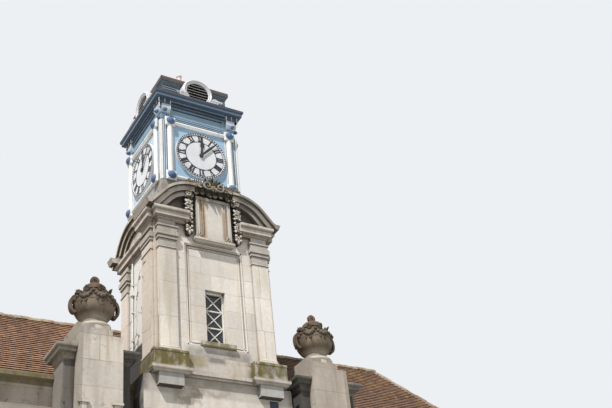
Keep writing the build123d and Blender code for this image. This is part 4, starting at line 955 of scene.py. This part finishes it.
def attic_trim():
    low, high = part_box("attic_walls")
    half = high.x
    drum_low, drum_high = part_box("round_dormers")
    drum = (drum_high.z - drum_low.z) / 2
    level = (drum_low.z + drum_high.z) / 2
    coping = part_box("attic_coping")[1]
    reach = coping.x - 0.004
    boards, scrolls, lip = Shape(), Shape(), Shape()
    for angle in FACES:
        wall = face_place(angle, half)
        for i in range(int((high.z - low.z) / ATTIC_BOARD)):
            z = low.z + i * ATTIC_BOARD
            away = min(abs(z - level), abs(z + ATTIC_BOARD - level))
            gap = math.sqrt(max(drum ** 2 - away ** 2, 0.0)) + 0.006
            size = (half - gap) / 2
            for side in (-1, 1):
                boards.lap_board(size - 0.002, z + 0.002, z + ATTIC_BOARD - 0.004, 0.020,
                                 at(wall, (side * (gap + size), 0, 0)))
        lip.box((-reach, 0.0, coping.z - 0.006), (reach, 0.05, coping.z + 0.085), face_place(angle, reach))
        ledge = face_place(angle, drum_high.x + 0.035, 0.0, low.z)
        for side in (-1, 1):
            tail = [(side * (0.30 + 0.04 * k), 0.0, 0.035 + 0.012 * k) for k in range(4)]
            path = tail + spiral((0.50, 0.0, 0.14), 0.105, -60, 400, 0.72, SCROLL_STEPS, side)
            scrolls.tube(path, [0.030] * 4 + taper(0.032, 0.020, SCROLL_STEPS), 8, ledge)
            for k in range(6):
                spot = (side * (0.33 + 0.055 * k), -0.01, 0.06 + 0.012 * k)
                scrolls.leaf(0.13, 0.07, 0.6, at(ledge, spot, side * (20 + 12 * k)), 2, 0.014)
    lip.make("coping_lip", "rust_edge", "lead_sheet", bevel=0.006)
    boards.make("attic_boards", "attic_paint", "grey_paint")
    scrolls.make("dormer_scrolls", "ring_paint", "grey_paint", smooth=True)


attic_trim()


# Louvres in the round dormers, with a ring; the slats are painted dark as shade, their front edges pale as
# highlights, and the back near-black as shade

SLATS, DORMER_RING, SLAT_DEPTH, SLAT_HALF = 7, 0.085, 0.080, 0.005


def louvres():
    low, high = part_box("round_dormers")
    level = (low.z + high.z) / 2
    hole = (high.z - low.z) / 2 - DORMER_RING
    inside = hole - 0.03
    slats, edges, back, bezel = Shape(), Shape(), Shape(), Shape()
    for angle in FACES:
        place = face_place(angle, high.x - 0.116, 0.0, level)
        for i in range(SLATS):
            z = (i + 0.5 - SLATS / 2) * 2 * inside / SLATS
            half = math.sqrt(max(inside ** 2 - z ** 2, 0.0)) - 0.004
            tilt = at(place, (0, 0, z), 40, "X")
            # Dark slats for painted shade, pale front edges for painted highlights.
            slats.box((-half, -SLAT_DEPTH, -SLAT_HALF), (half, 0.0, SLAT_HALF), tilt)
            edges.box((-half, -SLAT_DEPTH - 0.008, -SLAT_HALF), (half, -SLAT_DEPTH, SLAT_HALF), tilt)
        upright = at(place, turn=90, axis="X")
        # Near-black back: painted shade behind the slats.
        back.turned([(0, 0.003), (hole - 0.002, 0.003), (hole - 0.002, 0.0)], 40, upright)
        bezel.turned([(hole + 0.004, 0.0), (hole - 0.022, 0.0), (hole - 0.042, 0.03), (hole - 0.042, 0.075),
                      (hole - 0.022, 0.095), (hole + 0.004, 0.095)], 48, upright)
    bezel.make("dormer_bezels", "ring_paint", "grey_paint", smooth=True)
    slats.make("louvre_slat_shade", "mark_paint", "blue_paint")
    edges.make("louvre_edge_highlights", "white_paint", "grey_paint")
    back.make("louvre_back_shade", "hand_paint", "hand_black")


louvres()


# Stone stage: mouldings round the sunk panel, the tablet's fillets, a vent and a rain pipe

PANEL_LOW, PANEL_HIGH, PANEL_HALF, WINDOW_SIDE = 11.335, 14.13, 0.80, 0.47
TABLET_LOW, TABLET_HIGH = 14.34, 15.50
PIPE_LOW, PIPE_HIGH, PIPE_RADIUS = 11.93, 14.58, 0.024


def stage_trim():
    sunk = face_place(0, -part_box("stage_walls")[0].y - 0.04)
    tablet = face_place(0, -min(box[0].y for box in islands("tablet")))
    shaft = face_place(0, -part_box("tower_shaft")[0].y, 1.40, 10.09)
    side_wall = face_place(270, 1.28, -0.5)
    strips, fillets, vent, bars, pipe = (Shape() for _ in range(5))
    for inset, wide, out in ((0.024, 0.048, 0.036), (0.098, 0.040, 0.014)):
        foot, head = PANEL_LOW + inset, PANEL_HIGH - inset
        for x in (inset - PANEL_HALF, PANEL_HALF - inset):
            strips.bar((x, PANEL_LOW), (x, PANEL_HIGH), wide, out, sunk)
        for start, end, z in ((-PANEL_HALF, -WINDOW_SIDE, foot), (WINDOW_SIDE, PANEL_HALF, foot),
                              (-PANEL_HALF, PANEL_HALF, head)):
            strips.bar((start, z), (end, z), wide, out, sunk)
    for x, out in ((-0.31, 0.014), (0.33, 0.014), (-0.475, 0.018), (0.475, 0.018)):
        fillets.bar((x, TABLET_LOW), (x, TABLET_HIGH), 0.018, out, tablet)
    for side in (-1, 1):
        fillets.tube(spiral((0.405, -0.012, 14.42), 0.062, 90, 420, 0.75, 10, side),
                     taper(0.018, 0.010, 10), 6, tablet)
    # A black plate behind the bars: painted shade inside the vent.
    vent.box((-0.115, -0.006, -0.085), (0.115, 0, 0.085), shaft)
    for i in range(4):
        bars.box((-0.10, -0.014, -0.06 + 0.035 * i), (0.10, -0.006, -0.05 + 0.035 * i), shaft)
    pipe.tube([(0, 0.0, PIPE_LOW), (0, -0.03, PIPE_LOW + 0.04), (0, -0.035, PIPE_LOW + 0.09),
               (0, -0.035, PIPE_HIGH)], PIPE_RADIUS, 10, side_wall)
    for z in (12.3, 13.1, 13.9):
        pipe.box((-0.04, -0.062, z), (0.04, 0, z + 0.035), side_wall)
    pipe.box((-0.065, -0.09, 13.60), (0.065, 0, 13.80), side_wall)
    strips.make("panel_mouldings", "pilaster_stone", "dressed_stone", bevel=0.010)
    fillets.make("tablet_fillets", "tablet_stone", "dressed_stone")
    vent.make("vent_shade", "hand_paint", "hand_black")
    bars.make("vent_bars", "slate_paint", "blue_paint")
    pipe.make("rain_pipe", "white_paint", "grey_paint", bevel=0.003)


stage_trim()


# Carving beside and over the tablet: hanging fruit and flowers, and a leafy crown with scrolls

DROP_STEP, FAN_LEAVES, FESTOON_FLOWERS, HANGING_LEAVES = 0.135, 13, 8, 15


def carved_drop(shape, crust, low, high, place):
    """One hanging bunch between two levels: flowers, fruit and pairs of leaves; the parts in crust are
    near-black, painted shade with soot.
    """
    count = int((high - low) / DROP_STEP)
    for i in range(count):
        z = high - 0.07 - i * (high - low - 0.10) / count
        small = 1.0 - 0.28 * i / count
        out = -0.17 if z > high - 0.75 else -0.14
        mass = crust if i % 3 == 1 else shape
        mass.rosette((0.018 * (-1) ** i, out * small, z), 0.105 * small, place)
        for side in (-1, 1):
            turn = at(place, (side * 0.03, -0.05, z - 0.03), side * (112 + 14 * (i % 2)))
            crust.leaf(0.175 * small, 0.105, 1.2, turn, 2, 0.016)
            shape.berry((side * 0.085 * small, -0.11, z - 0.068), 0.042, place)
    shape.ball((0, -0.08, low + 0.05), (0.05, 0.06, 0.07), place, 8, 6)
    # Near-black lumps behind the bunch: painted shade, with soot.
    for i in range(2 * count):
        z = high - (i + 0.5) * (high - low) / (2 * count)
        wide = 0.125 - 0.035 * i / count / 2 + 0.018 * (-1) ** i
        crust.ball((0.02 * (-1) ** i, -0.03, z), (wide, 0.075, 0.085), place)


def crown(shape, crust, base, top, half, place):
    """A leafy crown: a fan of leaves, two scrolls, and festoons down to the bunches."""
    tall = top - base
    for i in range(FAN_LEAVES):
        lean = -84 + 14 * i
        size = 0.37 + 0.11 * math.cos(math.radians(lean))
        turn = at(place, (0.10 * math.sin(math.radians(lean)), -0.03, base + 0.10), lean)
        # Every other fan leaf is near-black: painted shade, with soot.
        mass = shape if i % 2 else crust
        mass.leaf(size * tall / 0.42, 0.16, 0.8 + 0.4 * (i % 2), turn, 3, 0.03)
    for side in (-1, 1):
        shape.tube(spiral((0.18, -0.22, base + 0.18), 0.135, 200, 480, 0.75, 18, side, -0.002),
                   taper(0.034, 0.019, 18), 8, place)
        for k in range(FESTOON_FLOWERS):
            share = k / (FESTOON_FLOWERS - 1)
            x = side * (0.26 + (half - 0.30) * share)
            z = base + 0.17 - 0.13 * share + 0.05 * math.sin(math.pi * share)
            shape.rosette((x, -0.17, z), 0.080 - 0.012 * share, place)
            shape.berry((x + side * 0.03, -0.15, z + 0.08), 0.038, place)
            for tip in (150, 35):
                shape.leaf(0.20, 0.10, 1.0, at(place, (x, -0.11, z), side * tip), 2, 0.018)
    hanging_leaves(shape, base, half, place)
    shape.rosette((0, -0.22, base + 0.10), 0.11, place, 6)
    # Near-black lumps behind the crown: painted shade, with soot.
    for i in range(FAN_LEAVES):
        x = -half + 0.06 + i * (2 * half - 0.12) / (FAN_LEAVES - 1)
        rise = 0.16 * math.cos(x / half * math.pi / 2) + 0.02 * (-1) ** i
        crust.ball((x, -0.05, base + 0.06 + rise / 2), (0.09, 0.07, 0.13 + rise / 2), place)


def hanging_leaves(shape, base, half, place):
    """Two rows of leaves along the crown's lower edge."""
    for i in range(HANGING_LEAVES):
        x = -half + 0.12 + i * (2 * half - 0.24) / (HANGING_LEAVES - 1)
        hang = at(place, (x, -0.13, base + 0.12), 180 + 14 * (-1) ** i)
        shape.leaf(0.27 + 0.05 * (i % 3), 0.13, 0.7, hang, 3, 0.02)
        shape.leaf(0.19, 0.11, 1.0, at(place, (x, -0.17, base + 0.20), 150 * (-1) ** i), 3, 0.02)


def garland_carving():
    carving, crust = Shape(), Shape()
    wall = -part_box("stage_walls")[0].y
    crown_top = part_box("garlands")[1].z
    for low, high in islands("garlands"):
        middle = (low.x + high.x) / 2
        place = face_place(0, wall, middle)
        if abs(middle) > 0.3:
            carved_drop(carving, crust, low.z, crown_top - 0.08, place)
        else:
            crown(carving, crust, low.z, high.z, (high.x - low.x) / 2, place)
    piece = carving.make("garland_carving", "fruit_stone", "carved_stone", smooth=True)
    # The near-black parts: painted shade, with soot.
    crust.make("garland_soot_and_shade", "soot_and_shade_stone", "carved_stone", smooth=True)
    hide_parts("garlands")


garland_carving()


# Urns: lobes under the belly, swags and leaves on the shoulder, leaves round the bud

LOBES, SWAGS, BUD_LEAVES = 26, 8, 6
NECK, SHOULDER, BUD = 0.282, 0.713, 0.885


def body_radius(share):
    """Radius of the urn's body as a share of its widest, from neck to shoulder."""
    return 1.0 - 0.375 * abs(2 * share - 1) ** 2.2 - 0.045 * share


def swag(carving, dark_leaves, spot, start, place):
    """A sagging row of berries with a fringe, a flower at its knot and a leaf between knots."""
    step = 360 / SWAGS
    for k in range(7):
        sag = math.sin(math.pi * k / 6)
        turn = start + step * k / 6
        berry = spot(turn, 0.82 - 0.22 * sag, 0.016)
        carving.berry(berry, 0.034 + 0.022 * sag, place)
        fringe = at(place, berry - Vector((0, 0, 0.03)), turn + 90, "Z")
        dark_leaves.leaf(0.13, 0.065, 0.5, at(fringe, turn=180 + 16 * (-1) ** k), 2, 0.015)
    knot = at(place, spot(start, 0.86), start + 90, "Z")
    carving.rosette((0, -0.03, 0), 0.058, knot)
    carving.leaf(0.19, 0.10, 0.25, at(knot, turn=180), 3, 0.02)
    between = start + step / 2
    dark_leaves.leaf(0.16, 0.12, 0.8, at(place, spot(between, 0.84), between + 90, "Z"), 3, 0.02)


def urn_carving():
    carving, dark_leaves = Shape(), Shape()
    for low, high in islands("urns"):
        tall, wide = high.z - low.z, (high.y - low.y) / 2
        place = Matrix.Translation(((low.x + high.x) / 2, (low.y + high.y) / 2, low.z))

        def spot(turn, share, out=0.0):
            r, a = wide * body_radius(share) + out, math.radians(turn)
            return Vector((r * math.cos(a), r * math.sin(a), tall * (NECK + share * (SHOULDER - NECK))))

        for i in range(LOBES):
            path = [spot(360 * i / LOBES, share, -0.024) for share in (0.04, 0.14, 0.26, 0.38, 0.47)]
            carving.tube(path, [0.016, 0.028, 0.034, 0.032, 0.018], 8, place)
        carving.tube([spot(360 * k / 32, 0.52, 0.004) for k in range(33)], 0.016, 6, place)
        for i in range(SWAGS):
            swag(carving, dark_leaves, spot, 360 * (i + 0.5) / SWAGS, place)
        for i in range(BUD_LEAVES):
            turn = at(place, turn=360 * i / BUD_LEAVES, axis="Z")
            tip = at(turn, (0, -0.035, tall * BUD))
            (dark_leaves if i % 2 else carving).leaf(0.15, 0.09, -0.7, tip, 2, 0.015)
    carving.make("urn_carving", "urn_stone", "carved_stone", smooth=True)
    dark_leaves.make("urn_leaves", "leaf_stone", "carved_stone", smooth=True)


urn_carving()


# Lattice window: three crossed lights in a painted frame over dark glass

LATTICE_EDGE, LIGHTS = 0.040, 3


def lattice_window():
    low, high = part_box("lattice_window_leaf")
    place = Matrix.Translation(((low.x + high.x) / 2, high.y, low.z))
    half, tall, deep = (high.x - low.x) / 2, high.z - low.z, high.y - low.y
    bars, pane = Shape(), Shape()
    bars.surround(half, tall, LATTICE_EDGE, -deep, 0, place)
    side, inside = half - LATTICE_EDGE, tall - 2 * LATTICE_EDGE
    for i in range(LIGHTS):
        z0, z1 = (LATTICE_EDGE + inside * k / LIGHTS for k in (i, i + 1))
        if i:
            bars.bar((-half, z0), (half, z0), 0.032, deep * 0.8, place)
        bars.bar((-side, z0), (side, z1), 0.024, deep * 0.7, place)
        bars.bar((side, z0), (-side, z1), 0.024, deep * 0.75, place)
    pane.box((-half + 0.01, -deep * 0.35, 0.01), (half - 0.01, -deep * 0.25, tall - 0.01), place)
    leaf = bars.make("lattice_bars", "white_paint", "window_glass", bevel=0.004)
    pane.make("lattice_pane", "dark_glass", "window_glass")
    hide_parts("lattice_window_leaf")


lattice_window()


# Storey windows: sashes with glazing bars over dark glass

SASH_EDGE, SASH_RAIL, GLAZING_BAR = 0.07, 0.03, 0.012


def sashes():
    bars, panes = Shape(), Shape()
    for low, high in islands("storey_windows"):
        size = high - low
        middle = (low + high) / 2
        across = size.x > size.y
        place = at(Matrix.Translation((middle.x, middle.y, low.z)), turn=0 if across else 90, axis="Z")
        deep, half = sorted((size.x / 2, size.y / 2))
        tall, side = size.z, half - SASH_EDGE
        bars.surround(half, tall, SASH_EDGE, -deep, deep, place)
        rail = deep * 0.8
        bars.box((-side, -rail, tall / 2 - SASH_RAIL), (side, rail, tall / 2 + SASH_RAIL), place)
        for x in (-side / 3, side / 3):
            bars.box((x - GLAZING_BAR, -deep * 0.6, SASH_EDGE),
                     (x + GLAZING_BAR, deep * 0.6, tall - SASH_EDGE), place)
        for z in (tall * 0.25, tall * 0.75):
            bars.box((-side, -deep * 0.6, z - GLAZING_BAR), (side, deep * 0.6, z + GLAZING_BAR), place)
        panes.box((-half + 0.02, -deep * 0.15, 0.02), (half - 0.02, deep * 0.15, tall - 0.02), place)
    leaf = bars.make("sash_bars", "white_paint", "window_glass")
    panes.make("sash_panes", "dark_glass", "window_glass")
    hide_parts("storey_windows")


sashes()


# Stage: camera, floor, sun and world

EYE = (-9.4394, -19.8381, 1.6)
HEADING, TILT, ROLL = 34.325838, 33.593143, -7.068838
SENSOR, LENS, FAR = 36, 55.44, 400
FLOOR_HALF = 220
SUN_WAY, SUN_POWER, SUN_WIDTH = (0.587, 0.45, -1), 4.7, 1.2
FILL_LIGHT = (0.90, 0.95, 1.0, 1), 0.36
BACKGROUND = (0.84, 0.87, 0.90, 1), 1.0


def set_camera():
    camera_data = bpy.data.cameras.new("camera")
    camera_data.sensor_width = SENSOR
    camera_data.lens = LENS
    camera_data.clip_end = FAR
    camera = link_new("camera", camera_data)
    view = at(at(Matrix.Translation(EYE), turn=-HEADING, axis="Z"), turn=90 + TILT, axis="X")
    camera.matrix_world = at(view, turn=ROLL, axis="Z")
    bpy.context.scene.camera = camera


def lay_floor():
    floor_mesh = bpy.data.meshes.new("floor")
    corners = [(x * FLOOR_HALF, y * FLOOR_HALF, 0) for x, y in ((-1, -1), (1, -1), (1, 1), (-1, 1))]
    floor_mesh.from_pydata(corners, [], [(0, 1, 2, 3)])
    pale = Shade("pale_floor")
    tone = pale.tint((0.56, 0.56, 0.54), pale.patches(0.4, 3, 0.3, 0.7, 0.97, 1.02))
    floor_mesh.materials.append(pale.finish(tone, 0.9))
    floor = link_new("floor", floor_mesh)


def hang_sun():
    sun_data = bpy.data.lights.new("sun", "SUN")
    sun_data.energy = SUN_POWER
    sun_data.angle = math.radians(SUN_WIDTH)
    sun_data.color = (1.0, 0.985, 0.96)
    sun = link_new("sun", sun_data)
    sun.rotation_mode = "QUATERNION"
    sun.rotation_quaternion = Vector(SUN_WAY).to_track_quat("-Z", "Y")


def light_world():
    """A soft fill light for surfaces, and a plain pale background for the rays that see it."""
    world = bpy.data.worlds.new("world")
    bpy.context.scene.world = world
    world.use_nodes = True
    nodes, links = world.node_tree.nodes, world.node_tree.links
    fill, seen = nodes["Background"], nodes.new("ShaderNodeBackground")
    for back, (colour, strength) in ((fill, FILL_LIGHT), (seen, BACKGROUND)):
        back.inputs["Color"].default_value = colour
        back.inputs["Strength"].default_value = strength
    rays = nodes.new("ShaderNodeLightPath")
    plain = rays.outputs["Is Camera Ray"]
    for kind in ("Is Glossy Ray", "Is Transmission Ray"):
        most = nodes.new("ShaderNodeMath")
        most.operation = "MAXIMUM"
        links.new(plain, most.inputs[0])
        links.new(rays.outputs[kind], most.inputs[1])
        plain = most.outputs[0]
    mix = nodes.new("ShaderNodeMixShader")
    for source, socket in zip((plain, fill.outputs[0], seen.outputs[0]), mix.inputs):
        links.new(source, socket)
    links.new(mix.outputs[0], nodes["World Output"].inputs["Surface"])
    bpy.context.scene.view_settings.view_transform = "Standard"


set_camera()
lay_floor()
hang_sun()
light_world()
